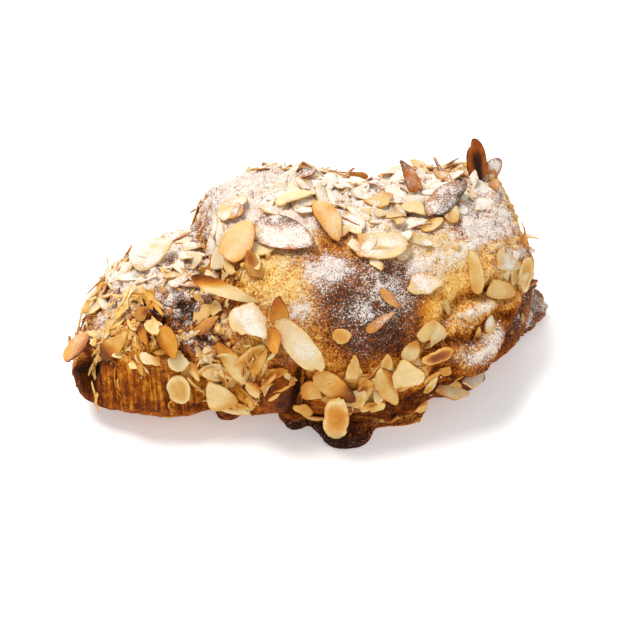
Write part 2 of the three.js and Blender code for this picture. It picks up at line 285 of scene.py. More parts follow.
def scatter(ground, count, seed, weight):
    """count places on the crust, chosen by weight(share, around, point, normal)."""
    rng = np.random.default_rng(seed)
    p, n = ground.points, ground.normals
    share, around = measure(p)
    w = np.clip(weight(share, around, p, n), 0, None)
    chosen = rng.choice(len(p), count, replace=False, p=w / w.sum())
    return [(Vector(p[i]), Vector(n[i]), share[i], around[i], ground.bake[i]) for i in chosen]


# ---------------------------------------------------------------- the crust
# Blobs on the crust: (at, around, length in mm, spread in degrees, strength).
# Bare layers of pastry
LAMINATED = (
    (-0.76, 2, 20, 26, 1), (-0.96, 10, 12, 60, 0.9), (-0.6, -4, 10, 16, 0.7), (-0.26, -10, 8, 18, 0.12),
    (-0.8, 200, 26, 36, 0.8), (0.2, 195, 60, 12, 0.4),
)
# Crumbly almond cream
CRUMBLY = (
    (-0.6, 65, 26, 30, 1), (-0.45, 25, 14, 26, 0.8), (0.15, -18, 34, 16, 1), (0.5, -10, 20, 18, 0.8),
    (0.2, 90, 60, 40, 0.5), (0.8, 90, 26, 60, 0.6), (0, 190, 70, 50, 0.7), (-0.25, 100, 18, 30, 0.45),
    (0.17, 42, 15, 22, 0.5), (0.56, 26, 12, 8, 0.6), (0.56, 6, 12, 8, 0.6),
)
# Smooth and glossy where the cream ran
SMOOTH = (
    (0.37, 36, 5, 8, 0.8), (-0.22, -6, 8, 18, 1), (0.53, 41, 8, 6, 0.8), (-0.02, -18, 7, 9, 0.4),
    (0.24, 7, 5, 8, 0.5),
)
# Deeply pitted
ROUGH = (
    (-0.52, 62, 12, 14, 1), (-0.48, 36, 9, 12, 0.9), (-0.44, 12, 8, 12, 0.7), (-0.7, 62, 14, 16, 0.6),
    (-0.88, 56, 8, 30, 0.6), (0.68, 96, 18, 14, 0.4), (-0.45, 140, 14, 30, 0.6), (0.85, 150, 14, 40, 0.5),
    (0.3, -10, 14, 9, 0.6), (-0.52, 0, 6, 16, 0.5), (0.85, -2, 9, 12, 1), (0.22, -30, 26, 10, 0.7),
    (0.3, -12, 12, 9, 0.5), (-0.5, -14, 9, 10, 0.6),
)
# Where the top layers have torn into overlapping flakes
FLAKES = (
    (-0.76, 66, 18, 22, 1.2), (-0.5, 62, 13, 26, 1.1), (-0.6, 100, 20, 24, 0.8), (-0.22, 104, 20, 18, 0.5),
    (0.1, 104, 30, 14, 0.8), (0.45, 96, 22, 16, 0.7), (-0.9, 56, 9, 26, 0.9), (-0.46, 26, 9, 16, 0.8),
    (-0.1, 140, 60, 26, 0.6), (0.5, 140, 30, 26, 0.5), (-0.7, 140, 24, 34, 0.8), (0.86, 110, 12, 40, 0.6),
)
# Where the crust lies lower than its solid, with depths in mm for strengths
DENTS = (
    (-0.87, 112, 10, 26, 3.6), (-0.4, 124, 7, 30, 3), (0.42, 114, 12, 14, 1.8), (0.64, 108, 8, 14, 1.6),
    (0.9, 84, 9, 26, 2.4),
)

# Folds between the coils' ends and lobes beside them: reach and height in mm, then the path as (at, around)
FOLDS = (
    (2.6, -4.2, ((0.36, 14), (0.4, 22), (0.43, 27), (0.48, 32), (0.54, 35), (0.6, 34), (0.66, 33),
     (0.74, 27))),
    (6, 3, ((0.44, 23), (0.5, 26), (0.57, 27), (0.64, 25))),
    (2, -3, ((0.44, 18), (0.5, 16), (0.55, 13), (0.6, 17), (0.68, 19), (0.76, 14))),
    (6, 3.8, ((0.47, 10), (0.51, 6), (0.56, 3), (0.61, 4), (0.65, 8))),
    (2.2, -2.6, ((0.4, 6), (0.45, 2), (0.52, -5), (0.6, -8), (0.7, -6))),
    (1.7, -3.2, ((-0.14, 14), (-0.15, 6), (-0.155, -4), (-0.16, -16), (-0.165, -26))),
    (1.4, -1.6, ((-0.24, 14), (-0.27, 6), (-0.3, -2), (-0.33, -12), (-0.34, -24))),
    (4, -5, ((-0.93, 54), (-0.94, 42), (-0.95, 28))),
    (2.6, -2, ((-0.4, 172), (-0.46, 150), (-0.415, 126), (-0.435, 104), (-0.4, 80), (-0.385, 60))),
    (1.6, -1.6, ((-0.7, 72), (-0.66, 62), (-0.62, 51), (-0.585, 40), (-0.575, 28), (-0.57, 12))),
    (1.5, -1.6, ((0.2, -8), (0.27, -10), (0.33, -8), (0.38, -2))),
    (3, -1.8, ((0.63, 170), (0.66, 140), (0.68, 112), (0.7, 92))),
    (6.2, -6.4, ((0.68, -16), (0.74, -9), (0.8, -3), (0.86, 1), (0.92, 3))),
    (5, -2.6, ((0.4, -20), (0.47, -16), (0.54, -14), (0.6, -14))),
    (3, -1.8, ((-0.05, 190), (0, 165), (0.02, 140), (0.03, 118))),
)


def beside(ground, p, path):
    """How far each point of p is from the path laid on the ground."""
    ats, arounds = np.array(path).T
    steps = np.hypot(np.diff(ats) * HALF_LENGTH, np.diff(arounds) * 0.6)
    knots = np.concatenate([[0], np.cumsum(steps)])
    _, line = ground.line(path, np.linspace(0, knots[-1], max(3, int(knots[-1] / 1.5))), knots)
    nearest = np.full(len(p), 1e9)
    for q in line:
        nearest = np.minimum(nearest, ((p - q) ** 2).sum(1))
    return np.sqrt(nearest)


def fine_roll():
    """The CAD roll, rounded and in a fine even mesh."""
    form = bmesh.new()
    form.from_mesh(frame["nodes"]["croissant"].data)
    bmesh.ops.remove_doubles(form, verts=form.verts, dist=0.01 * MM)
    welded = bpy.data.meshes.new("welded")
    form.to_mesh(welded)
    form.free()
    draft = add_object("draft", welded)
    rounding = draft.modifiers.new("rounding", "SUBSURF")
    rounding.levels = rounding.render_levels = 2
    remesh = draft.modifiers.new("remesh", "REMESH")
    remesh.mode, remesh.voxel_size = "VOXEL", CRUST_GRAIN * MM
    mesh = bpy.data.meshes.new_from_object(draft.evaluated_get(bpy.context.evaluated_depsgraph_get()))
    bpy.data.objects.remove(draft)
    return mesh


def add_folds(out, ground, p):
    """Adds the folds and lobes to the relief, and returns how deep in a fold each point is, from 0 to 1."""
    fold = np.zeros(len(p))
    for reach, height, path in FOLDS:
        strength = np.exp(-((beside(ground, p, path) / reach) ** 2))
        out += height * strength
        if height < 0:
            fold = np.maximum(fold, strength)
    return fold


def torn_plates(p):
    """Overlapping torn flakes: their height in mm, and how much darker they are painted: painted shade in
    the gaps, the cracks and on the lower flakes, with a random tone for each flake.
    """
    bent = p + 1.6 * np.stack([fractal(p, 7, 71 + k, 2) for k in range(3)], -1)
    own, away, gap = cells(bent, (3.4, 5.6, 4.6), 81)
    plate = 1.1 * (own[:, 0] - 0.5) + 1.5 * (away * (own - 0.5)).sum(1) - 0.7 * gap
    small, tip, crack = cells(bent, (1.9, 2.8, 2.4), 91)
    plate += 0.5 * (small[:, 1] - 0.5) + 0.8 * (tip * (small - 0.5)).sum(1)
    return plate, 0.34 * gap + 0.16 * crack - 0.12 + 0.36 * (own[:, 2] - 0.5) - 0.16 * np.clip(plate, -1, 1)


def crust_mesh():
    mesh = fine_roll()
    p, n = read(mesh)
    share, around = measure(p)
    laminated, smooth, rough, flakes = (clip01(spots(share, around, rows))
                                        for rows in (LAMINATED, SMOOTH, ROUGH, FLAKES))
    flakes *= 1 - laminated
    crumbly = clip01(0.25 + spots(share, around, CRUMBLY)) * (1 - smooth) * (1 - 0.8 * laminated)
    out = 0.9 * fractal(p, 15, 1) * (1 - 0.6 * smooth)
    out -= spots(share, around, DENTS)
    fold = add_folds(out, Ground(mesh), p)
    # darker is painted shade in the gaps between the torn flakes and on the lower ones, with a random tone
    # for each flake.
    plate, darker = torn_plates(p)
    out += flakes * 1.25 * plate
    crumb = crumbly * (1.1 * fractal(p, 5.5, 5) + 0.8 * (np.abs(fractal(p, 2.8, 9)) - 0.2))
    crumb += (1 - smooth) * (1 - laminated) * 0.5 * fractal(p, 2.2, 13) + rough * 3.2 * fractal(p, 3.4, 51)
    out += crumb
    warped = p + 2.4 * fractal(p, 12, 21, 2)[:, None] * np.array([1, 0, 0])
    layers = 1.05 * fractal(warped, (2.8, 19, 19), 25, 2) + 0.5 * noise(warped, (1.8, 11, 11), 29)
    out += laminated * layers
    foot = smoothstep(9, 4, p[:, 2]) * smoothstep(-0.5, 0.2, n[:, 2])
    out += foot * (0.9 * fractal(p, 3.4, 33) + 0.9 * np.abs(noise(p, 2.0, 37)))
    held = smoothstep(0.2, 2.2, p[:, 2])
    q = p + n * (out * held)[:, None]
    q[:, 2] = np.maximum(q[:, 2], 0)
    mesh.vertices.foreach_set("co", (q * MM).ravel())
    mesh.update()
    paint_crust(mesh, p, n, laminated, smooth, fold, crumb, flakes * darker)
    return mesh


# Blobs where the crust is baked darker (two of them painted shade instead), is paler, is dusted with sugar,
# and is coarse and speckled
BAKED_AND_SHADED = (
    (0.24, 58, 8, 9, 0.22), (0.31, 48, 7, 10, 0.2), (0.01, -38, 12, 8, 0.3), (0.14, 38, 16, 18, 0.72),
    (0.02, 37, 5, 10, 0.3), (0.18, 23, 14, 8, 0.46), (0.25, 33, 6, 12, 0.12), (0.06, 45, 8, 9, 0.2),
    # The blobs at (-0.98, 0) and (-0.945, 42) are painted shade in the hollow under the left end's
    # overhang.
    (0.2, 56, 12, 8, 0.3), (0.02, 66, 7, 6, 0.18), (0.1, 82, 7, 9, 0.2), (-0.98, 0, 7, 60, 0.6),
    (-0.945, 42, 6, 16, 0.9), (-0.18, 108, 20, 18, 0.1), (-0.335, 100, 3, 24, 0.12),
    (-0.36, 120, 5, 20, 0.1), (0.1, 18, 26, 6, -0.06), (-0.8, 8, 20, 22, 0.12), (-0.54, 60, 12, 15, 0.56),
    (-0.6, 74, 9, 8, 0.26), (-0.5, 30, 9, 18, 0.4), (-0.21, -4, 8, 18, 0.6), (-0.15, -10, 4, 22, 0.34),
    (0.26, -18, 34, 12, 0.14), (0.25, -30, 34, 9, 0.3), (0.08, -24, 22, 8, 0.3), (-0.1, -32, 8, 8, 0.3),
    (0.3, -12, 14, 9, 0.35), (0.07, -10, 9, 8, 0.2), (-0.5, -14, 10, 10, 0.3), (0.6, -2, 8, 7, 0.45),
    (0.66, -20, 9, 12, 0.4), (0.44, 2, 8, 10, 0.22), (0.64, 20, 7, 6, 0.14), (0.66, -6, 10, 9, 0.3),
    (0.9, 8, 10, 14, 0.3), (0.84, 0, 9, 11, 1), (0.76, 12, 5, 5, 0.16), (0.7, -4, 7, 9, 0.3),
    (0.66, 72, 11, 11, 0.34), (0.78, 66, 8, 8, 0.16), (0.6, 96, 14, 9, 0.12), (0.94, -60, 10, 50, 0.3),
    (0.82, 62, 7, 9, 0.12), (-0.1, 170, 50, 34, 0.2), (0.6, 165, 30, 40, 0.22), (-0.7, 150, 24, 40, 0.2),
    (0.03, 12, 7, 7, 0.14),
)
PALE = (
    (0.26, -30, 13, 9, 0.24), (0.14, -42, 12, 10, 0.2), (-0.6, 10, 8, 12, 0.06), (0.4, 28, 6, 8, 0.1),
    (0.56, 28, 10, 5, 0.16), (0.55, 6, 8, 6, 0.12), (0.78, 34, 10, 8, 0.1), (0.4, 34, 6, 7, 0.14),
    (-0.73, 103, 10, 12, 0.2), (-0.15, 54, 12, 11, 0.14), (0.53, 48, 14, 10, 0.06),
    (0.4, 66, 20, 14, 0.12), (-0.12, 40, 9, 9, 0.12), (0.56, 60, 8, 10, 0.12), (0.2, 100, 50, 14, 0.16),
    (-0.2, 96, 16, 16, 0.12), (-0.02, -18, 8, 8, 0.2), (0.24, 7, 6, 8, 0.16), (-0.66, 96, 14, 20, 0.12),
)
DUSTED = (
    (0.24, 58, 9, 9, 0.24), (0.3, 44, 7, 9, 0.16), (0.72, 76, 9, 14, 0.35), (-0.18, 100, 22, 24, 0.62),
    (-0.33, 98, 3, 24, -0.1), (-0.37, 116, 5, 20, 0.4), (-0.73, 104, 9, 12, 0.8), (0.35, 95, 26, 12, 0.6),
    (0.8, 76, 8, 12, 0.3), (0.3, 112, 28, 16, 0.9), (0.87, 72, 8, 16, 0.4), (0.3, 76, 14, 10, 0.5),
    (0.66, 70, 12, 11, 0.6), (-0.3, 114, 12, 18, 0.45), (0.72, 92, 16, 12, 0.8), (0.84, 46, 9, 6, 0.9),
    (0.56, 27, 11, 5, 0.75), (0.53, 7, 9, 7, 0.95), (0.64, 10, 6, 7, 0.7), (0.4, 60, 7, 8, 0.36),
    (0.045, 59, 6, 5, 0.8), (0.13, 39, 6, 5, 0.3), (0.19, 49, 5, 3, 0.3), (0.17, 26, 14, 9, 0.14),
    (0.2, 40, 11, 12, 0.26), (0.05, 45, 6, 6, -0.12), (-0.03, 58, 7, 12, 0.5), (-0.13, 40, 6, 6, 0.6),
    (-0.57, 68, 13, 13, 0.42), (-0.66, 98, 14, 18, 1), (-0.48, 36, 9, 12, 0.45), (-0.4, 96, 12, 20, 0.5),
    (0, 96, 20, 12, 0.4), (0.92, 8, 8, 14, 0.7), (0.85, 0, 8, 11, 0.9), (0.75, 13, 5, 5, -0.5),
    (0.94, -70, 12, 50, 0.9), (-0.12, 82, 12, 8, 0.5), (0.5, 58, 14, 8, 0.35), (-0.17, 18, 4, 6, 0.5),
    (-0.86, 84, 8, 26, 0.45), (0, 135, 80, 26, 0.5), (0.1, 165, 70, 26, 0.3), (-0.15, 56, 9, 9, -0.12),
    (0.38, 36, 5, 7, -0.2), (0.53, 41, 8, 5, -0.3), (0.26, 30, 8, 12, -0.1),
)
COARSE = (
    (-0.74, 68, 22, 26, 0.9), (-0.1, 60, 40, 34, 0.5), (-0.3, 114, 16, 20, -0.6), (0.3, 60, 50, 44, 1),
    (0.56, 14, 16, 16, 1), (-0.55, 80, 26, 34, 0.5), (0.2, 120, 80, 50, 0.8),
)


def paint_crust(mesh, p, n, laminated, smooth, fold, crumb, torn):
    """Paints how darkly the crust is baked, with painted shade in its creases, pits and flake gaps, and how
    dusted, layered, glossy and coarse it is.
    """
    share, around = measure(p)
    under = smoothstep(0.1, -0.7, n[:, 2])
    bake = 0.29 + spots(share, around, BAKED_AND_SHADED) - spots(share, around, PALE) + 0.12 * fractal(p, 11, 41)
    # Painted shade: the folds' creases and the pits between crumbs are darker and the raised crumbs
    # lighter; torn adds painted shade in the gaps between flakes.
    bake += 0.2 * under + 0.19 * laminated + 0.2 * fold - 0.2 * np.clip(crumb, -2.6, 0.8) + torn
    skirt = smoothstep(4.4, 1.6, p[:, 2]) * smoothstep(-0.35, 0.2, n[:, 2])
    bake = np.where(bake > 0.6, 0.6 + 0.42 * (bake - 0.6), bake)
    bake = np.clip(bake + 0.42 * skirt, 0.02, 0.98)
    top = smoothstep(0.1, 0.8, n[:, 2])
    sugar = clip01(0.12 + 0.12 * top + spots(share, around, DUSTED) + 0.24 * fractal(p, 8, 45))
    pits = 1 + 0.55 * np.clip(crumb, -1.7, 0.6)
    sugar *= (1 - 0.8 * laminated) * (1 - 0.6 * fold) * (1 - 0.5 * smooth) * pits
    sugar = np.where(skirt > 0.3, np.where(share > 0.7, 0.6, 0.27), sugar)
    coarse = np.clip(0.25 + 0.6 * skirt + spots(share, around, COARSE), 0.2, 1)
    coarse *= (1 - 0.7 * laminated) * (1 - 0.8 * smooth)
    gloss = clip01(smooth + 0.5 * skirt)
    paint(mesh, bake=bake, sugar=sugar, laminated=laminated, gloss=gloss, coarse=coarse)


# ---------------------------------------------------------------- materials
def srgb(r, g, b):
    """A colour in 0 to 255 as the linear one that a shader takes."""
    return tuple(((c / 255 + 0.055) / 1.055) ** 2.4 if c > 10 else c / 3295 for c in (r, g, b)) + (1.0,)


class Shader:
    """A material made node by node. Each method returns the socket of what it makes."""

    def __init__(self, name):
        self.material = bpy.data.materials.new(name)
        self.material.use_nodes = True
        self.tree = self.material.node_tree
        self.tree.nodes.clear()
        self.place = self.node("TexCoord").outputs["Object"]
        self.up = self.node("SeparateXYZ", Vector=self.node("NewGeometry").outputs["Normal"]).outputs["Z"]

    def node(self, kind, options=(), values=(), **inputs):
        """A node with its options, its first inputs in order and further inputs by name."""
        node = self.tree.nodes.new("ShaderNode" + kind)
        for key, value in dict(options).items():
            setattr(node, key, value)
        sockets = list(zip(node.inputs, values))
        sockets += [(node.inputs[name.replace("_", " ")], value) for name, value in inputs.items()]
        for socket, value in sockets:
            if isinstance(value, bpy.types.NodeSocket):
                self.tree.links.new(value, socket)
            else:
                socket.default_value = value
        return node

    def math(self, operation, a, b):
        return self.node("Math", {"operation": operation}, (a, b)).outputs[0]

    def add(self, a, b):
        return self.math("ADD", a, b)

    def sub(self, a, b):
        return self.math("SUBTRACT", a, b)

    def mul(self, a, b):
        return self.math("MULTIPLY", a, b)

    def vary(self, value, texture, amount):
        """The value moved up and down by a texture whose middle is 0.5."""
        return self.add(value, self.mul(self.sub(texture, 0.5), amount))

    def ramp01(self, value, low, high):
        """0 below low, 1 above high, smooth between."""
        return self.node("MapRange", {"interpolation_type": "SMOOTHSTEP"}, (value, low, high)).outputs[0]

    def field(self, name):
        return self.node("Attribute", {"attribute_name": name}).outputs["Fac"]

    def grain(self, place, scale, detail, rough=0.5, stretch=(1, 1, 1), distortion=0.0):
        place = self.node("Mapping", Vector=place, Scale=stretch).outputs["Vector"]
        return self.node("TexNoise", Vector=place, Scale=scale, Detail=detail, Roughness=rough,
                         Distortion=distortion).outputs["Fac"]

    def noise(self, size, detail=2.0, rough=0.5, stretch=(1, 1, 1), distortion=0.0):
        """Noise with features of that size in mm, from about 0.2 to 0.8."""
        return self.grain(self.place, 1 / (size * MM), detail, rough, stretch, distortion)

    def colours(self, value, *stops):
        """A colour ramp: each stop is (position, (r, g, b) in 0-255)."""
        node = self.node("ValToRGB", Fac=value)
        elements = node.color_ramp.elements
        while len(elements) < len(stops):
            elements.new(0.5)
        for element, (position, colour) in zip(elements, stops):
            element.position, element.color = position, srgb(*colour)
        return node.outputs["Color"]

    def mix(self, factor, a, b):
        node = self.node("Mix", {"data_type": "RGBA", "blend_type": "MIX"}, (factor,))
        for socket, value in zip(node.inputs[6:8], (a, b)):
            self.tree.links.new(value, socket)
        return node.outputs[2]

    def bump(self, height, distance):
        return self.node("Bump", Height=height, Strength=1.0, Distance=distance * MM).outputs["Normal"]

    def sugar(self, colour, density, size, veil):
        """The colour dusted with icing sugar, then the sugar's mask and its grains. Density goes from 0,
        bare, to 1, nearly covered. Veil is how much fine sugar lies between the grains."""
        drift, grains = self.noise(2.6, 3.0, 0.6), self.noise(size, 2.0, 0.75)
        lit = self.mul(density, self.ramp01(self.up, -0.45, 0.7))
        lit = self.math("MINIMUM", self.mul(lit, self.add(0.3, self.mul(drift, 1.4))), 1.0)
        level = self.sub(0.74, self.mul(lit, 0.34))
        film = self.mul(lit, veil)
        covered = self.ramp01(grains, self.sub(level, 0.04), self.add(level, 0.04))
        mask = self.add(film, self.mul(covered, self.sub(0.9, film)))
        white = self.colours(density, (0.2, (238, 208, 182)), (0.8, (250, 238, 229)))
        return self.mix(mask, colour, white), mask, grains

    def finish(self, colour, roughness, normal, **fixed):
        shader = self.node("BsdfPrincipled", Base_Color=colour, Roughness=roughness, Normal=normal, **fixed)
        self.node("OutputMaterial", Surface=shader.outputs[0])
        return self.material


def crust_material():
    s = Shader("crust")
    # The crust's baked colour with its painted shade in creases, pits and flake gaps drives the colour
    # ramp.
    bake, laminated, gloss = s.field("bake"), s.field("laminated"), s.field("gloss")
    broad, patch, fine = s.noise(9, 3), s.noise(2.4, 4, 0.6), s.noise(0.7, 3, 0.7)
    layers = s.noise(1.15, 4, 0.6, (1, 0.07, 0.07), 0.5)
    tone = s.vary(s.vary(bake, broad, 0.35), patch, 0.6)
    tone = s.vary(tone, fine, s.add(0.25, s.mul(s.field("coarse"), 1.5)))
    # Painted shade: the bare layers are darker in their grooves, where their bump is low.
    tone = s.add(tone, s.mul(s.mul(laminated, s.sub(0.52, layers)), 1.35))
    colour = s.colours(tone, (0.0, (252, 224, 160)), (0.2, (242, 192, 100)), (0.36, (212, 139, 42)),
                       (0.52, (168, 85, 13)), (0.7, (108, 48, 8)), (0.86, (66, 28, 7)), (1.0, (38, 17, 7)))
    colour, mask, grains = s.sugar(colour, s.field("sugar"), 0.56, 0.1)
    height = s.add(s.mul(patch, 0.6), s.mul(fine, 0.55))
    height = s.add(s.mul(height, s.sub(1.0, s.mul(gloss, 0.7))), s.mul(s.mul(layers, laminated), 0.9))
    normal = s.bump(s.add(height, s.mul(s.mul(grains, mask), 0.3)), 1.1)
    rough = s.add(s.sub(0.72, s.mul(gloss, 0.38)), s.mul(mask, 0.25))
    return s.finish(colour, rough, normal, Specular_IOR_Level=0.04)


def almond_material():
    s = Shader("almond")
    cloud, fine = s.noise(3.0, 3), s.noise(0.5, 3, 0.6)
    grown = s.grain(s.node("UVMap").outputs[0], 1.0, 3.0, stretch=(0.35, 2.4, 1))
    value = s.vary(s.vary(s.vary(s.field("tone"), cloud, 0.22), grown, 0.15), fine, 0.12)
    skin = s.mul(s.ramp01(s.field("rim"), 0.93, 1.0), s.ramp01(s.noise(4.0, 1), 0.36, 0.6))
    value = s.add(value, s.mul(skin, 0.3))
    colour = s.colours(value, (0.0, (252, 229, 192)), (0.14, (240, 208, 152)), (0.26, (224, 183, 114)),
                       (0.38, (213, 150, 62)), (0.47, (200, 130, 42)), (0.58, (176, 100, 26)),
                       (0.7, (130, 66, 18)), (0.85, (80, 40, 16)), (1.0, (36, 20, 12)))
    colour, mask, grains = s.sugar(colour, s.field("sugar"), 0.44, 0.24)
    height = s.add(s.add(s.mul(grown, 0.3), s.mul(fine, 0.2)), s.mul(s.mul(grains, mask), 0.5))
    return s.finish(colour, s.add(0.48, s.mul(mask, 0.42)), s.bump(height, 0.35), Specular_IOR_Level=0.12,
                    Subsurface_Weight=0.25, Subsurface_Scale=0.003, Subsurface_Radius=(1.0, 0.55, 0.25))


def crumb_material():
    s = Shader("crumb")
    value = s.vary(s.field("tone"), s.noise(0.9, 3, 0.6), 0.4)
    colour = s.colours(value, (0.0, (252, 226, 172)), (0.25, (240, 190, 102)), (0.45, (210, 140, 46)),
                       (0.64, (152, 82, 22)), (0.84, (84, 43, 16)), (1.0, (40, 24, 13)))
    colour, mask, grains = s.sugar(colour, s.field("sugar"), 0.44, 0.12)
    height = s.add(s.noise(0.5, 3, 0.6), s.mul(grains, mask))
    return s.finish(colour, s.add(0.62, s.mul(mask, 0.3)), s.bump(height, 0.35), Specular_IOR_Level=0.08)


def sugar_material():
    s = Shader("icing_sugar")
    grain = s.noise(0.25, 2, 0.7)
    colour = s.colours(grain, (0.2, (232, 224, 220)), (0.8, (252, 250, 248)))
    return s.finish(colour, s.add(0.8, s.mul(grain, 0.2)), s.bump(grain, 0.15), Subsurface_Weight=0.1,
                    Subsurface_Scale=0.001)


# ---------------------------------------------------------------- almond slices
def slice_outline(rng, long, wide, cuts, points):
    """The ragged outline of an almond slice with its point at +X, snapped off along the cuts."""
    turn = np.linspace(0, 2 * math.pi, points, endpoint=False)
    c, s = np.cos(turn), np.sin(turn)
    wobble = 1 + 0.03 * np.sin(2 * turn + rng.uniform(0, 6)) + 0.03 * np.sin(3 * turn + rng.uniform(0, 6))
    wobble += rng.normal(0, 0.014, points)
    for _ in range(rng.integers(0, 3)):
        wobble -= rng.uniform(0.05, 0.16) * np.exp(-((1 - np.cos(turn - rng.uniform(0, 6.28))) / 0.03))
    taper = rng.uniform(0.12, 0.3)
    u = 0.5 * long * c * wobble
    v = 0.5 * wide * s * (1 - taper * c - 0.12 * clip01(c) ** 3) * wobble
    for angle, share in cuts:
        cx, cy = cos_sin(angle)
        reach = u * cx + v * cy
        over = np.maximum(reach - share * reach.max() - rng.normal(0, 0.012 * long, points), 0)
        u, v = u - over * cx, v - over * cy
    return u - (u.max() + u.min()) / 2, v - (v.max() + v.min()) / 2


def slice_faces(rings, count):
    """The faces of a slice: the rings of its underside, those of its face, and last the middle of each."""
    faces = []
    half = rings * count
    for j in range(count):
        i = (j + 1) % count
        faces += [(2 * half, i, j), (2 * half + 1, half + j, half + i)]
        for a in range(0, half - count, count):
            b = half + a
            faces.append((a + j, a + i, a + count + i, a + count + j))
            faces.append((b + i, b + j, b + count + j, b + count + i))
        faces.append((half - count + j, half - count + i, 2 * half - count + i, 2 * half - count + j))
    return faces


def slice_shape(long, wide, seed, cuts, points, rings, thick):
    """A thin bowed almond slice about its own origin: +X to its point, +Z its face.
    Returns its points, faces and how near the rim each point is."""
    rng = np.random.default_rng(seed)
    u, v = slice_outline(rng, long, wide, cuts, points)
    arch, cup = rng.uniform(0.0, 0.08) * long, rng.uniform(-0.9, 1.1) * wide / 10
    twist, curl = rng.uniform(-0.8, 0.8) * wide / 10, rng.uniform(0, 0.16) * wide
    curled = cos_sin(rng.uniform(0, 360))
    layers, rims = [], []
    reach = [*rings, 1.0]
    for side in (-1, 1):
        for r in reach:
            x, y = u * r, v * r
            a, b = 2 * x / long, 2 * y / wide
            bow = arch * (0.4 - a**2) + cup * (0.4 - b**2) + twist * a * b
            bow = bow + curl * clip01(a * curled[0] + b * curled[1] - 0.4) ** 1.5
            edge = 0.5 * thick * (1 if r < 1 else 0.6)
            layers.append(np.stack([x, y, bow + side * edge], -1))
            rims.append(np.full(points, r))
    middle = (arch + cup) * 0.4
    layers.append(np.array([[0, 0, middle - thick / 2], [0, 0, middle + thick / 2]]))
    rims.append(np.zeros(2))
    return np.concatenate(layers), slice_faces(len(reach), points), np.concatenate(rims)


def toast(p, rim, long, wide, tone, seed, kind, angle, strength):
    """How dark each point of a slice is baked, from 0 to 1. Its kind says where it is darker."""
    u, v = 2 * p[:, 0] / long, 2 * p[:, 1] / wide
    out = tone + 0.1 * noise(p + 40 * seed, 5.5, seed)
    c, s = cos_sin(angle)
    toward = u * c + v * s
    if kind == "side":
        out = out + strength * smoothstep(0.0, 0.85, toward + 0.15 * noise(p + 9 * seed, 3, seed))
    elif kind == "heart":
        out = out + strength * smoothstep(0.95, 0.45, rim)
    elif kind == "spot":
        out = out + strength * smoothstep(0.7, 0.2, np.hypot(u - 0.45 * c, v - 0.45 * s))
    elif kind == "streak":
        out = out + strength * smoothstep(0.55, 0.2, np.abs(v)) * smoothstep(0.6, 0.0, toward)
    return clip01(out)


def dust(p, rim, sugar, seed):
    """How thickly each point of a slice is dusted: most near its middle, in drifts."""
    drift = 0.75 + 0.5 * noise(p + 23 * seed, 3.5, seed + 7)
    return clip01(1.5 * sugar * drift * (1.1 - 0.6 * rim**4))


def cad_flake_frame(name):
    """Where a CAD flake lies: its middle, its three directions, its length and its width."""
    p, _ = read(frame["nodes"][name].data)
    centre = (p.min(0) + p.max(0)) / 2
    _, _, (length, width, face) = np.linalg.svd(p - p.mean(0), full_matrices=False)
    middle, _, _, _, widest = section((centre[0] + SHIFT[0]) / HALF_LENGTH)
    hub = np.array([centre[0] * 0.8, middle - SHIFT[1], widest])
    if face @ (centre - hub) < 0:
        face = -face
    q = (p - centre) @ np.array([length, width, face]).T
    ends = [np.abs(q[(side * q[:, 0] > 0.2 * q[:, 0].max()), 1]).mean() for side in (1, -1)]
    if ends[0] > ends[1]:
        length = -length
    width = np.cross(face, length)
    q = (p - centre) @ np.array([length, width, face]).T
    centre = centre + ((q.min(0) + q.max(0)) / 2) @ np.array([length, width, face])
    return centre, length, width, face, *(np.ptp(q, axis=0)[:2])


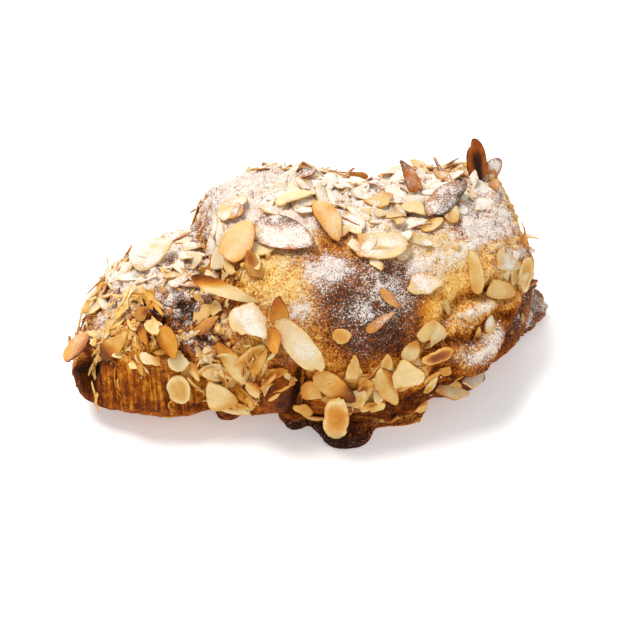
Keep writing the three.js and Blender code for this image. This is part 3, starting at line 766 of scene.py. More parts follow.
# For each CAD flake in order: tone from pale (0) to burnt (1), sugar, (how, in which direction and how
# far it is baked darker), and its breaks as (direction in degrees, share left)
PLAIN = ("plain", 0, 0)
FLAKE_LOOKS = (
    (0.4, 0.35, ("side", 90, 0.26), ((60, 0.9),)), (0.3, 0.05, ("side", 180, 0.46), ((70, 0.8),)),
    (0.16, 0.9, PLAIN, ()), (0.2, 0, ("side", 152, 0.6), ()),
    (0.24, 0.35, ("side", -90, 0.16), ((160, 0.9),)), (0.46, 0, ("side", -90, 0.16), ()),
    (0.13, 0, ("heart", 0, 0.16), ()), (0.14, 0.1, PLAIN, ((60, 0.6), (-20, 0.8), (150, 0.75))),
    (0.22, 0, ("side", 180, 0.14), ((180, 0.8), (150, 0.85))), (0.26, 0, ("side", 0, 0.3), ((-100, 0.9),)),
    (0.22, 0.75, PLAIN, ((150, 0.75), (-60, 0.8), (30, 0.85), (80, 0.8))),
    (0.38, 0.2, ("spot", 0, 0.3), ((-90, 0.6), (150, 0.75))), (0.5, 1, ("side", 110, 0.3), ()),
    (0.42, 0.05, ("side", 0, 0.12), ((180, 0.8),)), (0.2, 0.65, ("side", 0, 0.12), ((140, 0.9),)),
    (0.4, 0, ("side", 90, 0.12), ()), (0.36, 0.05, ("side", 0, 0.5), ()),
    (0.22, 0, ("heart", 0, 0.2), ((180, 0.9),)),
    (0.34, 0.1, ("side", 0, 0.3), ((0, 0.8), (180, 0.7), (90, 0.8))),
    (0.36, 0, PLAIN, ((120, 0.7), (-100, 0.75))), (0.29, 0.1, PLAIN, ((180, 0.65), (70, 0.8))),
    (0.33, 0, ("side", 90, 0.34), ((70, 0.9),)), (0.18, 0, PLAIN, ((180, 0.6), (65, 0.75), (-70, 0.72))),
    (0.3, 0.05, ("heart", 0, 0.4), ((100, 0.75),)), (0.2, 0.1, PLAIN, ((90, 0.6), (200, 0.7))),
    (0.5, 0.4, PLAIN, ((-80, 0.7),)),
    (0.22, 0.7, ("side", 90, 0.2), ((40, 0.85), (-100, 0.85), (150, 0.8))),
    (0.27, 0.1, ("side", 180, 0.1), ((90, 0.85),)), (0.2, 0.15, ("heart", 0, 0.12), ((-90, 0.8),)),
    (0.33, 0.3, PLAIN, ((90, 0.7), (180, 0.8))),
    (0.2, 0.6, ("side", 180, 0.16), ((20, 0.88), (-110, 0.85), (170, 0.8), (90, 0.7))),
    (0.3, 0.35, ("side", -90, 0.14), ()), (0.16, 0.35, PLAIN, ((100, 0.7), (-100, 0.8))),
    (0.18, 0.7, ("spot", 30, 0.15), ((-90, 0.75), (60, 0.85), (160, 0.8))),
    (0.26, 0.4, ("side", 0, 0.14), ((90, 0.6), (200, 0.8), (-60, 0.8))),
    (0.16, 0.42, PLAIN, ((-60, 0.8), (120, 0.7))), (0.66, 0.6, ("side", -90, 0.3), ((60, 0.85),)),
    (0.62, 0.4, ("side", 0, 0.2), ((70, 0.7), (180, 0.75))), (0.62, 0, ("streak", 0, 0.38), ()),
    (0.1, 0.7, ("side", 0, 0.2), ((150, 0.8),)), (0.2, 0.5, ("side", 180, 0.2), ((100, 0.8),)),
)
# Slices that lie a little beside their CAD flake: its number, the move in mm, their length and width over
# its, and a turn about their length in degrees
MOVED = {
    1: ((0, -0.6, -0.6), 1.05, 1.05, -48), 2: ((0.6, 0, -0.6), 1, 0.8, 0),
    4: ((2.2, -2.2, -3), 1.08, 0.72, 0), 9: ((0.2, -0.4, -1.4), 1.25, 0.9, 0),
    10: ((0.8, 0, 0), 1, 0.84, 0), 13: ((0, -1.2, -1), 1, 1, 0), 14: ((0.3, 0.2, 1), 1.15, 1, 0),
    15: ((0, 0, 0), 1, 0.8, 0), 17: ((-0.3, 0.4, 1), 1, 0.9, 0), 18: ((-0.3, -0.6, -0.2), 1.5, 0.94, 0),
    20: ((-0.6, 0, 1), 0.7, 0.7, 0), 21: ((0, 0, 0.2), 1, 0.84, 0), 26: ((0, 0, 0), 1, 0.66, 0),
    28: ((-0.4, 0, 0), 1.12, 0.72, 0), 30: ((0.6, 0, 0.4), 1.35, 1.2, 0), 32: ((-1.2, 0, 0), 1, 0.86, 0),
    37: ((0, 0, 0), 1.25, 0.8, 0), 38: ((-3.4, 0.6, 0.4), 1.1, 1, 0), 39: ((0.8, 0, -0.4), 1, 1, 0),
    40: ((0, 0, 0.6), 1.15, 0.8, 72), 41: ((0, 0, 0.6), 1.2, 0.8, 72),
}
# Slices that would hang just clear of the crust
LET_DOWN = (7, 8, 20, 26, 27, 28, 30, 34, 40, 41)


def let_down(p, ground, gap=0.1):
    """Moves a slice straight to the crust until its nearest point is the gap away."""
    found = [(ground.tree.find_nearest(Vector(v)), v) for v in p]
    (place, _, _, far), point = min(found, key=lambda pair: pair[0][3])
    return p + (np.array(place) - point) * max(0, 1 - gap / far)


def named_slices(ground, material):
    """A slice in place of each CAD flake."""
    slots = {part["node"]: part["material_slot"] for part in frame["record"]["subparts"]}
    for i, (tone, sugar, baked, cuts) in enumerate(FLAKE_LOOKS, 1):
        node = f"almond_flake_{i:02d}"
        centre, length, width, face, long, wide = cad_flake_frame(node)
        move, longer, wider, tilt = MOVED.get(i, ((0, 0, 0), 1, 1, 0))
        centre, long, wide = centre + np.array(move), long * longer, wide * wider
        c, s = cos_sin(tilt)
        width, face = c * width + s * face, c * face - s * width
        p, faces, rim = slice_shape(long * 1.05, wide * 1.05, i, cuts, 40, (0.3, 0.6, 0.84, 0.97), 0.62)
        placed = set_down(p, centre, length, width, face)
        if i in LET_DOWN:
            placed = let_down(placed, ground)
        heap = Heap()
        heap.add(placed, faces, rim=rim, sugar=dust(p, rim, sugar, i),
                 tone=toast(p, rim, long, wide, tone, i, *baked))
        made = heap.piece(f"almond_slice_{i:02d}", material, slots[node], 35)
        with_uv(made.data, p[:, :2] + 7 * (i - 1))
        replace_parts(made, node)


# Blobs where loose slices lie thickly and where none do
BUSY = (
    (-0.66, 84, 18, 20, 0.2), (-0.45, 76, 12, 16, 0.6), (-0.34, 12, 10, 14, 1), (-0.46, 16, 6, 12, 0.5),
    (-0.25, 92, 14, 12, 0.5), (0.05, 98, 26, 14, 0.3), (0.4, 92, 20, 12, 0.3), (0.75, 98, 16, 14, 0.25),
    (0.13, -2, 15, 11, 1.5), (0.36, 12, 8, 8, 0.9), (0.8, 32, 10, 8, 0.4), (-0.1, 130, 60, 26, 0.7),
    (0.3, 160, 60, 26, 0.5), (-0.6, 130, 24, 26, 0.7), (0.5, -12, 14, 8, 0.4), (-0.55, 10, 6, 14, 0.3),
    (0.85, 70, 8, 16, 0.3),
)
CLEAR = (
    (0.88, 94, 7, 24, 0.8), (-0.85, 90, 9, 18, 0.8), (0.78, 8, 9, 12, 1.2), (-0.74, 68, 8, 10, 0.7),
    (-0.54, 58, 10, 14, 1), (-0.95, 44, 7, 16, 2), (-0.72, 84, 5, 6, 0.8), (0.17, 42, 15, 18, 1),
    (-0.16, 54, 11, 10, 1.2), (0.5, 44, 12, 9, 1), (-0.21, -6, 8, 16, 1.2), (0.64, 66, 14, 12, 0.8),
    (-0.8, -2, 18, 22, 1.2), (0, 66, 9, 9, 0.9), (0.56, 14, 12, 12, 1), (-0.3, 108, 11, 20, 2),
    (-0.34, 130, 10, 24, 1.6), (-0.16, 116, 12, 12, 1),
)
# Ways that a loose slice is broken: (direction in degrees, share left)
BREAKS = ((), (), ((180, 0.6),), ((150, 0.7), (40, 0.8)), ((-60, 0.6), (100, 0.75)), ((200, 0.4),),
          ((90, 0.5), (-30, 0.8)), ((120, 0.6), (-120, 0.6), (0, 0.8)))
# Slices laid one by one: at, around, heading, pitch, tilt, lift, long, wide, tone, sugar
MORE_SLICES = (
    (-0.93, 106, 70, 40, 0, 2, 7, 3.6, 0.5, 0.1), (-0.78, 94, 8, 6, 0, 1.6, 6.5, 3.4, 0.6, 0.1),
    (-0.67, 50, -85, 4, -10, 2.6, 8.5, 4.6, 0.12, 0.05), (-0.705, 50, -80, 4, 20, 1.6, 8, 3.4, 0.46, 0),
    (-0.7, 66, 20, 4, 30, 1.4, 5.5, 4.4, 0.34, 0), (-0.74, 26, -85, 0, 0, 1, 5.5, 2, 0.36, 0),
    (-0.56, 14, 60, 4, 0, 1.2, 8.5, 6.2, 0.2, 0.1), (-0.5, 122, 0, 0, 40, 3, 13, 5, 0.3, 0.7),
    (-0.475, 18, 8, 0, 10, 1.6, 8.5, 3.6, 0.08, 0.25), (-0.42, 12, -55, 2, 0, 1.6, 7, 2.8, 0.12, 0),
    (-0.465, 53, 8, 2, -6, 1.8, 10.5, 5.4, 0.26, 0.05), (-0.46, 44, 6, 2, 12, 1.6, 10, 4.6, 0.4, 0.05),
    (-0.41, 50, 78, 14, 0, 2.4, 7, 4, 0.14, 0), (-0.34, 66, -68, 4, 0, 1.8, 9.5, 4.4, 0.1, 0),
    (-0.26, 64, -80, 6, 0, 2, 8, 4, 0.1, 0.1), (-0.215, 70, 5, -4, 0, 1.8, 9.5, 5.4, 0.1, 0.05),
    (-0.29, 19, 50, 6, 20, 2.8, 12, 3.2, 0.22, 0), (-0.24, 13, 18, 6, 8, 2.4, 10, 4, 0.24, 0),
    (-0.7, 31, -50, 4, 0, 1.6, 8, 4, 0.04, 0.3), (0.135, 68, -50, 3, 0, 2.2, 8, 3.2, 0.04, 0.7),
    (0.195, 69, 62, 3, 0, 2.6, 9, 4.8, 0.08, 0.5), (-0.28, 88, 55, 8, 20, 2.2, 8, 2.2, 0.28, 0.1),
    (-0.34, 84, 70, 5, 0, 2, 9, 5, 0.06, 0.6), (-0.375, 88, 40, 5, 20, 1.8, 8, 4.4, 0.1, 0.6),
    (-0.33, 78, 85, 5, 0, 1.8, 7, 4, 0.06, 0.4), (0.33, 84, 10, 2, 4, 2.6, 9, 2.6, 0.1, 0.1),
    (0.34, 81, 14, 2, 4, 2.2, 8.5, 2.6, 0.14, 0.1), (0.44, 88, -70, 4, 0, 2.6, 9, 5, 0.06, 0.5),
    (-0.315, 6, 60, 10, -10, 2.6, 8.5, 5.4, 0.16, 0), (-0.27, 10, 52, 6, 40, 3.4, 11, 2.6, 0.22, 0),
    (-0.22, 6, 30, 8, 30, 3.2, 8, 2.4, 0.24, 0), (-0.25, 2, 48, 6, 20, 3, 7, 2.2, 0.22, 0),
    (-0.18, 7, 60, 8, 0, 1.2, 4.2, 2.6, 0.2, 0), (-0.33, -6, -60, 6, 0, 1.4, 6, 3, 0.14, 0),
    (-0.4, -20, -80, 0, 0, 1.2, 6, 5, 0.22, 0), (-0.08, -27, 5, 0, 0, 1.2, 9, 4.4, 0.2, 0.1),
    (0.02, -10, -80, 4, 0, 1.4, 8, 5.4, 0.1, 0), (0.06, -1, -72, 4, 8, 1.8, 10, 6.4, 0.08, 0),
    (0.085, 7, 20, 8, 0, 2.2, 6, 4.6, 0.26, 0), (0.11, -8, 50, 6, 0, 2, 7, 4.4, 0.14, 0),
    (0.145, -9, 75, 8, 0, 2.2, 7, 4.4, 0.2, 0), (0.14, 8, 60, 10, 0, 1.8, 8, 4.4, 0.1, 0),
    (0.18, 15, 85, 8, 0, 1.8, 6.5, 3.8, 0.08, 0.1), (0.28, 20, 60, 6, 0, 2, 7.5, 5.4, 0.1, 0.1),
    (0.32, -18, 50, 14, 0, 2.4, 7.5, 5, 0.24, 0), (0.22, -26, 85, 10, 20, 1.8, 6, 2.8, 0.34, 0),
    (0.35, 28, 30, 8, 0, 1.8, 9, 5.2, 0.16, 0.05), (0.43, 5, -80, 10, 0, 2, 6, 4.4, 0.2, 0),
    (0.46, 33, -65, 6, 20, 1.6, 9, 2.8, 0.1, 0.2), (0.57, 16, 88, 34, 0, 2.2, 6, 2.4, 0.2, 0.1),
    (0.64, 16, 60, 16, 20, 1.8, 6.5, 4.4, 0.1, 0.4), (0.765, 44, -30, 6, 8, 1.6, 15, 6.4, 0.16, 0.3),
    (0.8, 37, 30, 4, 0, 1.4, 10, 6, 0.16, 0.2), (0.68, 33, 20, 10, 0, 2.2, 8, 4, 0.16, 0.3),
    (0.84, 28, 12, 2, 10, 2, 17, 5, 0.14, 0.2), (0.62, 88, 10, 4, 10, 1.4, 7, 4, 0.2, 0.7),
    (0.22, 44, -48, 12, 20, 2.2, 9, 3.2, 0.4, 0.1), (0.02, 28, 0, 4, 0, 1.4, 6, 5, 0.26, 0.1),
    (0.36, 88, 85, 6, 0, 1.8, 6.5, 4.2, 0.1, 0.4), (0.27, 92, 12, 6, 14, 2.2, 9.5, 4.4, 0.2, 0.1),
    (0.26, 86, -12, 2, 40, 2, 11, 2.8, 0.16, 0.2), (0.4, 70, -38, 2, 20, 1.6, 13, 3.2, 0.08, 0.5),
    (0.345, 73, 10, 4, 0, 1.8, 6.5, 4.4, 0.06, 0.6), (0.48, 76, 8, 4, 10, 1.6, 9.5, 3.8, 0.14, 0.1),
    (0.57, 79, 60, 10, 0, 2, 7.5, 5.6, 0.24, 0.1), (0.45, 78, -30, 4, 10, 1.4, 8, 4, 0.1, 0.4),
    (0, 89, 8, 3, 12, 1.8, 10, 3.6, 0.12, 0.3), (-0.01, 85, -20, 4, 0, 1.8, 6, 4, 0.1, 0.4),
    (0.05, 106, -20, 10, 20, 2.2, 7, 4.4, 0.5, 0.05), (0.13, 102, -12, 0, 60, 1.2, 15, 1.6, 0.62, 0.2),
    (0.7, 104, 150, 24, 20, 3, 9.5, 6, 0.22, 0.1), (0.84, 105, 60, 46, 10, 3, 8, 6.4, 0.5, 0.5),
    (0.83, 94, 40, 30, 0, 2, 5, 4, 0.42, 0.1), (0.64, 99, -25, 4, 50, 1.4, 8, 1.6, 0.5, 0.2),
    (0.66, 102, -22, 4, 50, 1.4, 7, 1.4, 0.56, 0.1), (0.62, 105, 10, 8, 30, 2, 7, 3.4, 0.24, 0.1),
    (0.89, 60, 80, 6, 20, 2, 9, 4.4, 0.2, 0.2), (0.93, 46, 0, 30, 0, 1.6, 4.5, 1.6, 0.56, 0.3),
    (0.92, 16, 20, 40, 0, 1.6, 5, 3, 0.5, 0), (0.93, 10, -10, 40, 0, 1.6, 4.5, 2.6, 0.55, 0),
    (0.1, 76, 30, 4, 0, 1.6, 7, 4.4, 0.16, 0.3), (0.2, 60, -70, 3, 10, 1.6, 6.5, 4, 0.1, 0.3),
    (0.24, 66, 12, 4, -6, 2.8, 9, 4.4, 0.1, 0.4), (0.32, 66, 40, 6, 0, 1.8, 7, 4.6, 0.12, 0.4),
    (-0.27, 88, 60, 6, 0, 2, 6, 3.6, 0.4, 0.3), (-0.52, 130, 20, 10, 20, 2, 7, 4, 0.4, 0.5),
    (-0.45, 104, -10, 4, 20, 2, 9, 4, 0.16, 0.6), (-0.37, 78, -50, 6, 10, 2, 8, 3.4, 0.14, 0.4),
    (-0.35, 90, 30, 6, 10, 1.8, 8, 4, 0.12, 0.6), (-0.4, 84, -30, 8, 0, 1.8, 7, 4.4, 0.18, 0.4),
    (-0.54, 78, 20, 4, 10, 1.8, 9, 4.4, 0.2, 0.5), (-0.55, 84, -10, 6, -10, 2, 8, 4, 0.26, 0.3),
)


def busy(share, around, p, n):
    w = 0.1 + spots(share, around, BUSY) - 1.2 * spots(share, around, CLEAR)
    return w * smoothstep(-0.45, 0.1, n[:, 2]) * (p[:, 2] > 5)


def dusting(share, around):
    """How thickly sugar lies at one place, from 0 to 1."""
    return clip01(0.1 + spots(np.array([share]), np.array([around]), DUSTED))[0]


def loose_slices(ground, material):
    """Smaller slices and broken bits: those laid one by one, then those strewn."""
    heap, uvs = Heap(), []
    rng = np.random.default_rng(7)

    def lay(place, long, wide, tone, sugar, cuts, seed, points=20, rings=(0.55, 0.94)):
        p, faces, rim = slice_shape(long, wide, seed, cuts, points, rings, rng.uniform(0.4, 0.6))
        ways = [rng.uniform(0, 360) for _ in range(3)]
        baked = (PLAIN, ("side", ways[0], 0.15), ("heart", 0, 0.1), ("side", ways[1], 0.3),
                 ("spot", ways[2], 0.25))
        heap.add(set_down(p, *place), faces, rim=rim, sugar=dust(p, rim, sugar, seed),
                 tone=toast(p, rim, long, wide, tone, seed, *baked[seed % 5]))
        uvs.append(p[:, :2] + 5 * (seed % 97))

    for k, (at, a, heading, pitch, tilt, lift, long, wide, tone, sugar) in enumerate(MORE_SLICES):
        place = ground.frame(at, a, heading, pitch, tilt, lift - 0.4)
        tone, sugar = tone + 0.07 + 0.07 * (a < 20), sugar + 0.45 * dusting(at, a)
        lay(place, long, wide, tone, sugar, BREAKS[k % 7], 100 + k, 28, (0.4, 0.75, 0.95))
    for k, (point, normal, share, around, _) in enumerate(scatter(ground, LOOSE_SLICES, 11, busy)):
        crown = 75 < around < 130
        small = rng.random() < (0.3 if crown else 0.7)
        long = rng.uniform(4.0, 9.0) if small else rng.uniform(9.5, 14.5)
        wide = long * rng.uniform(0.28, 0.6)
        face = (normal + Vector(rng.normal(0, 0.13, 3))).normalized()
        along = face.cross(Vector(rng.normal(0, 1, 3))).normalized()
        lean = 2.2 if abs(around) < 35 else 1
        pitch, tilt = lean * rng.normal(2, 7 if small else 5), lean * rng.normal(0, 11 if small else 7)
        place = turned(point, along, face, 0, pitch, tilt, rng.uniform(-0.1, 0.5 if crown else 0.9))
        tone = clip01(rng.choice([0.16, 0.26, 0.4, 0.58], p=[0.4, 0.33, 0.18, 0.09]) + rng.normal(0, 0.03))
        white = dusting(share, around)
        tone = tone * (1 - 0.5 * white) + 0.08 * (abs(around) < 20)
        lay(place, long, wide, tone, white * rng.uniform(0.7, 1.7), BREAKS[rng.integers(8)], 300 + k)
    made = heap.piece("loose_almond_slices", material, "almond", 35)
    with_uv(made.data, np.concatenate(uvs))


# ---------------------------------------------------------------- flaky pastry
# Blobs where pastry flakes lie thickly
FLAKY = (
    (-0.76, 60, 18, 18, 0.8), (-0.6, 92, 18, 16, 0.6), (-0.48, 50, 12, 24, 0.8), (-0.4, 86, 6, 14, 0.8),
    (-0.9, 50, 10, 36, 0.9), (-0.3, 14, 9, 14, 0.6), (0, 105, 40, 14, 0.12), (0.5, 100, 20, 14, 0.12),
    (-0.6, 134, 20, 26, 0.7), (0.1, 150, 70, 40, 0.3), (0.8, 100, 14, 30, 0.2), (-0.5, 0, 8, 16, 0.4),
)
# Torn ribbons and free edges of pastry layers: width in mm, lean in degrees (0 lies flat, 90 stands), lift
# in mm, tone, sugar and the path as (at, around) pairs
LAYER_EDGES = (
    (1.8, 8, 1.9, 0.2, 0, ((-0.72, 84), (-0.77, 77), (-0.822, 69), (-0.872, 60), (-0.9, 48))),
    (1, 10, 1.2, 0.26, 0, ((-0.86, 60), (-0.895, 48), (-0.912, 28), (-0.918, 5), (-0.922, -16))),
    (1.5, 10, 2.1, 0.1, 0.1, ((-0.73, 84), (-0.78, 76), (-0.82, 69), (-0.845, 63))),
    (1.8, 12, 2, 0.3, 0.05, ((-0.735, 84), (-0.694, 76), (-0.664, 65), (-0.643, 54), (-0.621, 43),
     (-0.597, 33))),
    (1.5, 8, 2.2, 0.14, 0.2, ((-0.76, 86), (-0.71, 84), (-0.68, 79), (-0.65, 72), (-0.63, 65))),
    (2, 12, 1.6, 0.26, 0.2, ((-0.8, 88), (-0.76, 84), (-0.71, 81), (-0.67, 78), (-0.64, 79))),
    (1.7, 60, 1, 0.24, 0, ((-0.76, 62), (-0.745, 52), (-0.73, 42), (-0.715, 32))),
    (1.7, 25, 0.8, 0.3, 0, ((-0.735, 30), (-0.73, 24), (-0.728, 18))),
    (1.7, 70, 0.2, 0.5, 0.3, ((-0.39, 138), (-0.4, 122), (-0.4, 108), (-0.39, 98), (-0.38, 90))),
    (2, 50, 0.4, 0.24, 0, ((-0.24, 15), (-0.27, 7), (-0.3, -1), (-0.33, -11), (-0.34, -24))),
    (2.2, 30, 1, 0.16, 0, ((-0.19, 8), (-0.22, 12), (-0.26, 10), (-0.3, 4))),
    (1.5, 70, 0, 0.6, 0, ((-0.125, 12), (-0.13, 2), (-0.135, -10), (-0.14, -22))),
    (1.3, 60, 0, 0.5, 0, ((-0.83, 24), (-0.835, 12), (-0.835, 0), (-0.825, -16))),
    (1.3, 60, 0, 0.5, 0, ((-0.64, 16), (-0.645, 4), (-0.64, -10), (-0.63, -20))),
    (2, 40, 0.8, 0.3, 0.4, ((-0.56, 92), (-0.52, 86), (-0.47, 82), (-0.42, 80))),
    (1.6, 55, 0.6, 0.62, 0.2, ((-0.62, 82), (-0.56, 80), (-0.51, 77), (-0.47, 74))),
    (1.6, 65, 0, 0.4, 0.4, ((0.66, 150), (0.67, 125), (0.68, 106), (0.7, 92))),
    (1.8, 65, 0, 0.4, 0.3, ((-0.84, 165), (-0.85, 140), (-0.84, 118), (-0.83, 104))),
)
# Where the filling ran out of the right end and baked hard on the tray: x, y, z and thickness along it
SPILL = (
    (60, -18, 1.5, 1.4), (65, -13, 2.2, 2.4), (70, -9, 2.8, 3), (74.5, -5.5, 3, 3.1), (78.5, -2, 3.4, 3.2),
    (81.5, 1, 3.8, 3), (82.8, 4.5, 4.2, 2.8), (82, 9, 4.2, 2.6), (80, 13, 3.6, 2.4), (76, 17, 2.8, 2.2),
    (71, 19, 2, 1.8),
)


def ribbon_shape(long, wide, seed, steps):
    """A thin torn strip of pastry, bent and twisted along its length."""
    rng = np.random.default_rng(seed)
    t = np.linspace(-1, 1, steps + 1)
    bend, arch, twist = rng.normal(0, 0.12) * long, rng.uniform(-0.04, 0.12) * long, rng.normal(0, 0.5)
    sway = rng.normal(0, 0.03, 2) * long
    aside, rise = bend * t**2 + sway[0] * np.sin(3 * t), arch * (0.4 - t**2) + sway[1] * t
    middle = np.stack([0.5 * long * t, aside, rise], -1)
    half = 0.5 * wide * np.clip(1.1 - np.abs(t) ** 4, 0.15, 1) * rng.uniform(0.7, 1.2, len(t))
    roll = twist * t + rng.normal(0, 0.5)
    across = np.stack([0 * t, np.cos(roll), np.sin(roll)], -1)
    up = np.stack([0 * t, -np.sin(roll), np.cos(roll)], -1) * rng.uniform(0.12, 0.2)
    square = ((-1, -1), (1, -1), (1, 1), (-1, 1))
    corners = [middle + across * (i * half)[:, None] + j * up for i, j in square]
    return np.stack(corners, 1).reshape(-1, 3), tube_faces(steps + 1, 4)


def flaky(share, around, p, n):
    w = 0.04 + spots(share, around, FLAKY) - spots(share, around, CLEAR)
    return w * smoothstep(-0.6, 0.0, n[:, 2]) * (p[:, 2] > 4)


def pastry_shards(ground, material):
    """Torn strips and scales of pastry, strewn."""
    heap = Heap()
    rng = np.random.default_rng(31)
    for k, (point, normal, share, around, _) in enumerate(scatter(ground, SHARDS, 37, flaky)):
        strip = rng.random() < 0.3
        lengths, widths = ((5, 10), (0.8, 2.0)) if strip else ((2.4, 5.5), (1.2, 3.0))
        long, wide = rng.uniform(*lengths), rng.uniform(*widths)
        face = (normal + Vector(rng.normal(0, 0.2, 3))).normalized()
        way = Vector((rng.normal(1, 0.6), rng.normal(0, 0.5), rng.normal(0, 0.5)))
        along = face.cross(way).normalized()
        place = turned(point, along, face, rng.normal(0, 30), rng.normal(1, 5), 0, rng.uniform(-0.2, 0.5))
        p, faces = ribbon_shape(long, wide, 500 + k, 9 if strip else 4)
        tone = clip01(rng.choice([0.08, 0.2, 0.4, 0.62], p=[0.38, 0.34, 0.16, 0.12]) + rng.normal(0, 0.05))
        sugar = dusting(share, around) * rng.uniform(0.4, 1.3)
        heap.add(set_down(p, *place), faces, tone=tone, sugar=sugar)
    heap.piece("pastry_shards", material, "crust", 50)


def laid_line(ground, path, steps):
    """Points along a path over the crust, bridging its pits, with the ways along, across and off it."""
    shares, line = ground.line(path, np.linspace(0, len(path) - 1, steps), range(len(path)))
    soft = np.pad(line, ((4, 4), (0, 0)), "edge")
    line = np.mean([soft[k:k + steps] for k in range(9)], axis=0)
    middle, _, _, _, widest = section(shares)
    off = line - np.stack([shares * HALF_LENGTH - SHIFT[0], middle - SHIFT[1], widest], -1)
    along = np.gradient(line, axis=0)
    across = np.cross(along, off)
    off = np.cross(across, along)
    return line, *(v / np.linalg.norm(v, axis=1, keepdims=True) for v in (along, across, off))


def layer_edges(ground, material):
    """Short strips along the edges of the pastry's layers."""
    heap = Heap()
    rng = np.random.default_rng(43)
    for wide, lean, lift, tone, sugar, path in LAYER_EDGES:
        line, along, across, off = laid_line(ground, path, 9 * len(path))
        length = np.linalg.norm(np.diff(line, axis=0), axis=1).sum()
        for i in rng.integers(0, len(line), int(length / 1.7)):
            long = rng.uniform(7.0, 12.0) if wide < 1.65 and lean < 30 else rng.uniform(4.0, 8.5)
            p, faces = ribbon_shape(long, wide * rng.uniform(0.5, 1.0), rng.integers(9999), 7)
            middle = Vector(line[i] + across[i] * rng.normal(0, 0.35 * wide))
            place = turned(middle, Vector(along[i]), Vector(off[i]), rng.normal(0, 9), rng.normal(0, 4),
                           lean + rng.normal(0, 12), lift - 0.6 + rng.normal(0, 0.4))
            shade = clip01(tone + rng.normal(0, 0.1))
            heap.add(set_down(p, *place), faces, tone=shade, sugar=sugar)
    heap.piece("pastry_layers", material, "crust", 50)


def burnt_spill(material):
    """A lumpy rope along the spill, flat where it meets the tray."""
    rings, count = 90, 30
    t = np.linspace(0, len(SPILL) - 1, rings)
    x, y, z, thick = (np.interp(t, range(len(SPILL)), row) for row in zip(*SPILL))
    thick = thick * np.sin(np.pi * (0.03 + 0.94 * np.linspace(0, 1, rings))) ** 0.3
    turn = np.linspace(0, 2 * math.pi, count, endpoint=False)
    along = np.stack([np.gradient(x), np.gradient(y)], -1)
    along /= np.linalg.norm(along, axis=1, keepdims=True)
    side = np.stack([along[:, 1], -along[:, 0], 0 * x], -1)
    out = side[:, None] * np.cos(turn)[None, :, None] + np.array([0, 0, 1]) * np.sin(turn)[None, :, None]
    p = (np.stack([x, y, z], -1)[:, None] + out * thick[:, None, None]).reshape(-1, 3)
    lump = 1.9 * fractal(p, 4.5, 73) + 1.3 * np.abs(noise(p, 2.2, 75)) + 0.7 * noise(p, 1.1, 77)
    p = p + out.reshape(-1, 3) * lump[:, None]
    p[:, 2] = np.maximum(p[:, 2], 0.05)
    heap = Heap()
    # Painted shade: the spill is darker in the hollows between its lumps and lighter on the lumps.
    heap.add(p, tube_faces(rings, count, clockwise=True), tone=0.74 - 0.12 * lump,
             sugar=np.clip(0.62 + 0.7 * noise(p, 5, 85), 0.1, 1))
    heap.piece("burnt_spill", material, "crust")


# ---------------------------------------------------------------- crumbs and sugar
def ball(subdivisions):
    bm = bmesh.new()
    bmesh.ops.create_icosphere(bm, subdivisions=subdivisions, radius=1)
    p = np.array([v.co[:] for v in bm.verts])
    faces = [tuple(v.index for v in f.verts) for f in bm.faces]
    bm.free()
    return p, faces


def crumbling(share, around, p, n):
    w = 0.12 + spots(share, around, CRUMBLY) + 0.6 * spots(share, around, FLAKY)
    w -= spots(share, around, CLEAR)
    w = w * (1 - 0.7 * clip01(spots(share, around, DUSTED)))
    low = smoothstep(12, 4, p[:, 2]) * 0.9
    return (w + low) * smoothstep(-0.7, 0.0, n[:, 2]) * (p[:, 2] > 1.2)


def crumbs(ground, material):
    """Lumpy crumbs, about as dark as the crust beneath them, the crust's painted shade included."""
    heap = Heap()
    rng = np.random.default_rng(53)
    round_ball, faces = ball(2)
    for k, (point, normal, share, around, bake) in enumerate(scatter(ground, CRUMBS, 59, crumbling)):
        size = 0.35 + 0.9 * rng.random() ** 2.5
        lumpy = round_ball * (1 + 0.35 * noise(round_ball + 9 * k, 0.7, k)[:, None])
        p = lumpy * rng.uniform(0.6, 1.2, 3) * size
        tone = np.clip(1.05 * bake + rng.normal(0.02, 0.08), 0.28, 1)
        white = dusting(share, around)
        heap.add(np.array(point + normal * size * 0.3) + p, faces, tone=tone * (1 - 0.5 * white),
                 sugar=white * (0.4 if point.z < 7 else 1))
    heap.piece("crumbs", material, "crust")


def dusted(share, around, p, n):
    w = np.clip(0.05 + spots(share, around, DUSTED), 0, 1.2) ** 1.5
    return w * smoothstep(0.0, 0.8, n[:, 2]) * (p[:, 2] > 4)


def sugar_clumps(ground, material):
    """The larger grains and lumps of icing sugar."""
    heap = Heap()
    rng = np.random.default_rng(61)
    round_ball, faces = ball(1)
    for point, normal, *_ in scatter(ground, SUGAR_GRAINS, 67, dusted):
        size = rng.uniform(0.13, 0.34)
        p = round_ball * rng.uniform(0.6, 1.3, 3) * size
        heap.add(np.array(point + normal * size * 0.4) + p, faces)
    heap.piece("icing_sugar", material, "crust")


# ---------------------------------------------------------------- stage, light and camera, in metres
FLOOR_REACH = 3.0
SKY = 0.5
# Soft lights: name, place, size, power and colour
LIGHTS = (("key", (-0.32, 0.16, 1.0), 0.5, 9.9, (1.0, 0.985, 0.96)),
          ("fill", (0.3, -0.9, 0.6), 0.9, 1.4, (1, 1, 1)), ("back", (0.3, 0.8, 0.7), 0.6, 1.6, (1, 1, 1)))
LIT_POINT = (0, 0, 0.03)
LENS, SENSOR = 85, 36
AZIMUTH, ELEVATION, DISTANCE = math.radians(-13), math.radians(40), 0.515


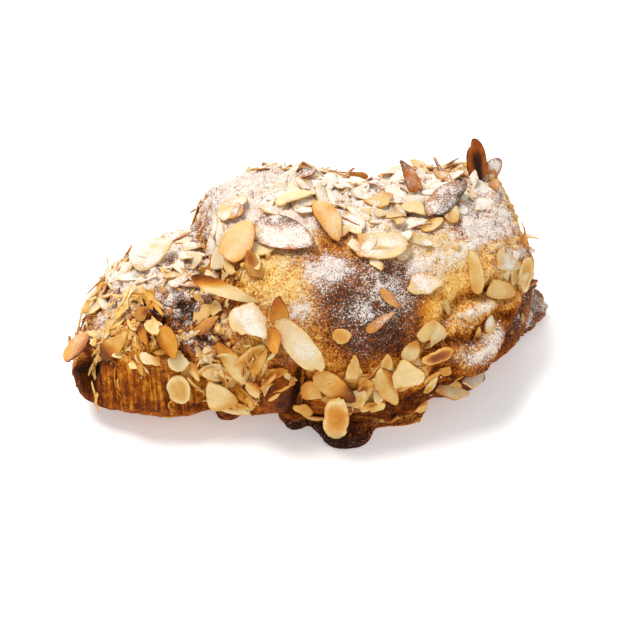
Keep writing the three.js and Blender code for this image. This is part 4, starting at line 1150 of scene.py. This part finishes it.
def floor():
    r = FLOOR_REACH
    mesh = bpy.data.meshes.new("floor")
    mesh.from_pydata([(-r, -r, 0), (r, -r, 0), (r, r, 0), (-r, r, 0)], [], [(0, 1, 2, 3)])
    s = Shader("floor")
    colour = s.colours(s.noise(60, 2), (0.3, (247, 247, 247)), (0.7, (250, 250, 250)))
    mesh.materials.append(s.finish(colour, 0.9, s.bump(s.noise(2, 2), 0.02), Specular_IOR_Level=0.1,
                                   Emission_Color=(1, 1, 1, 1), Emission_Strength=0.3))
    add_object("floor", mesh)


def studio():
    world = bpy.data.worlds.new("studio")
    bpy.context.scene.world = world
    world.use_nodes = True
    sky = world.node_tree.nodes["Background"]
    sky.inputs[0].default_value, sky.inputs[1].default_value = (1, 1, 1, 1), SKY
    for name, place, size, power, colour in LIGHTS:
        light = bpy.data.lights.new(name, "AREA")
        light.shape, light.size, light.energy, light.color = "DISK", size, power, colour
        obj = add_object(name, light)
        obj.location = place
        obj.rotation_euler = (Vector(LIT_POINT) - obj.location).to_track_quat("-Z", "Y").to_euler()
    bpy.context.scene.view_settings.view_transform = "Standard"
    bpy.context.scene.view_settings.look = "None"


def camera():
    """The photo's view."""
    data = bpy.data.cameras.new("camera")
    data.lens, data.sensor_width, data.clip_start = LENS, SENSOR, 0.01
    obj = add_object("camera", data)
    level = math.cos(ELEVATION)
    back = Vector((math.sin(AZIMUTH) * level, -math.cos(AZIMUTH) * level, math.sin(ELEVATION)))
    target = Vector((3 - SHIFT[0], -SHIFT[1], 20)) * MM
    obj.location = target + back * DISTANCE
    obj.rotation_euler = back.to_track_quat("Z", "Y").to_euler()
    bpy.context.scene.camera = obj


camera()
floor()
studio()

crust = crust_mesh()
ground = Ground(crust)
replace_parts(piece("crust", crust, crust_material(), "crust"), "croissant")
almond, crumb = almond_material(), crumb_material()
named_slices(ground, almond)
loose_slices(ground, almond)
pastry_shards(ground, crumb)
layer_edges(ground, crumb)
burnt_spill(crumb)
crumbs(ground, crumb)
sugar_clumps(ground, sugar_material())
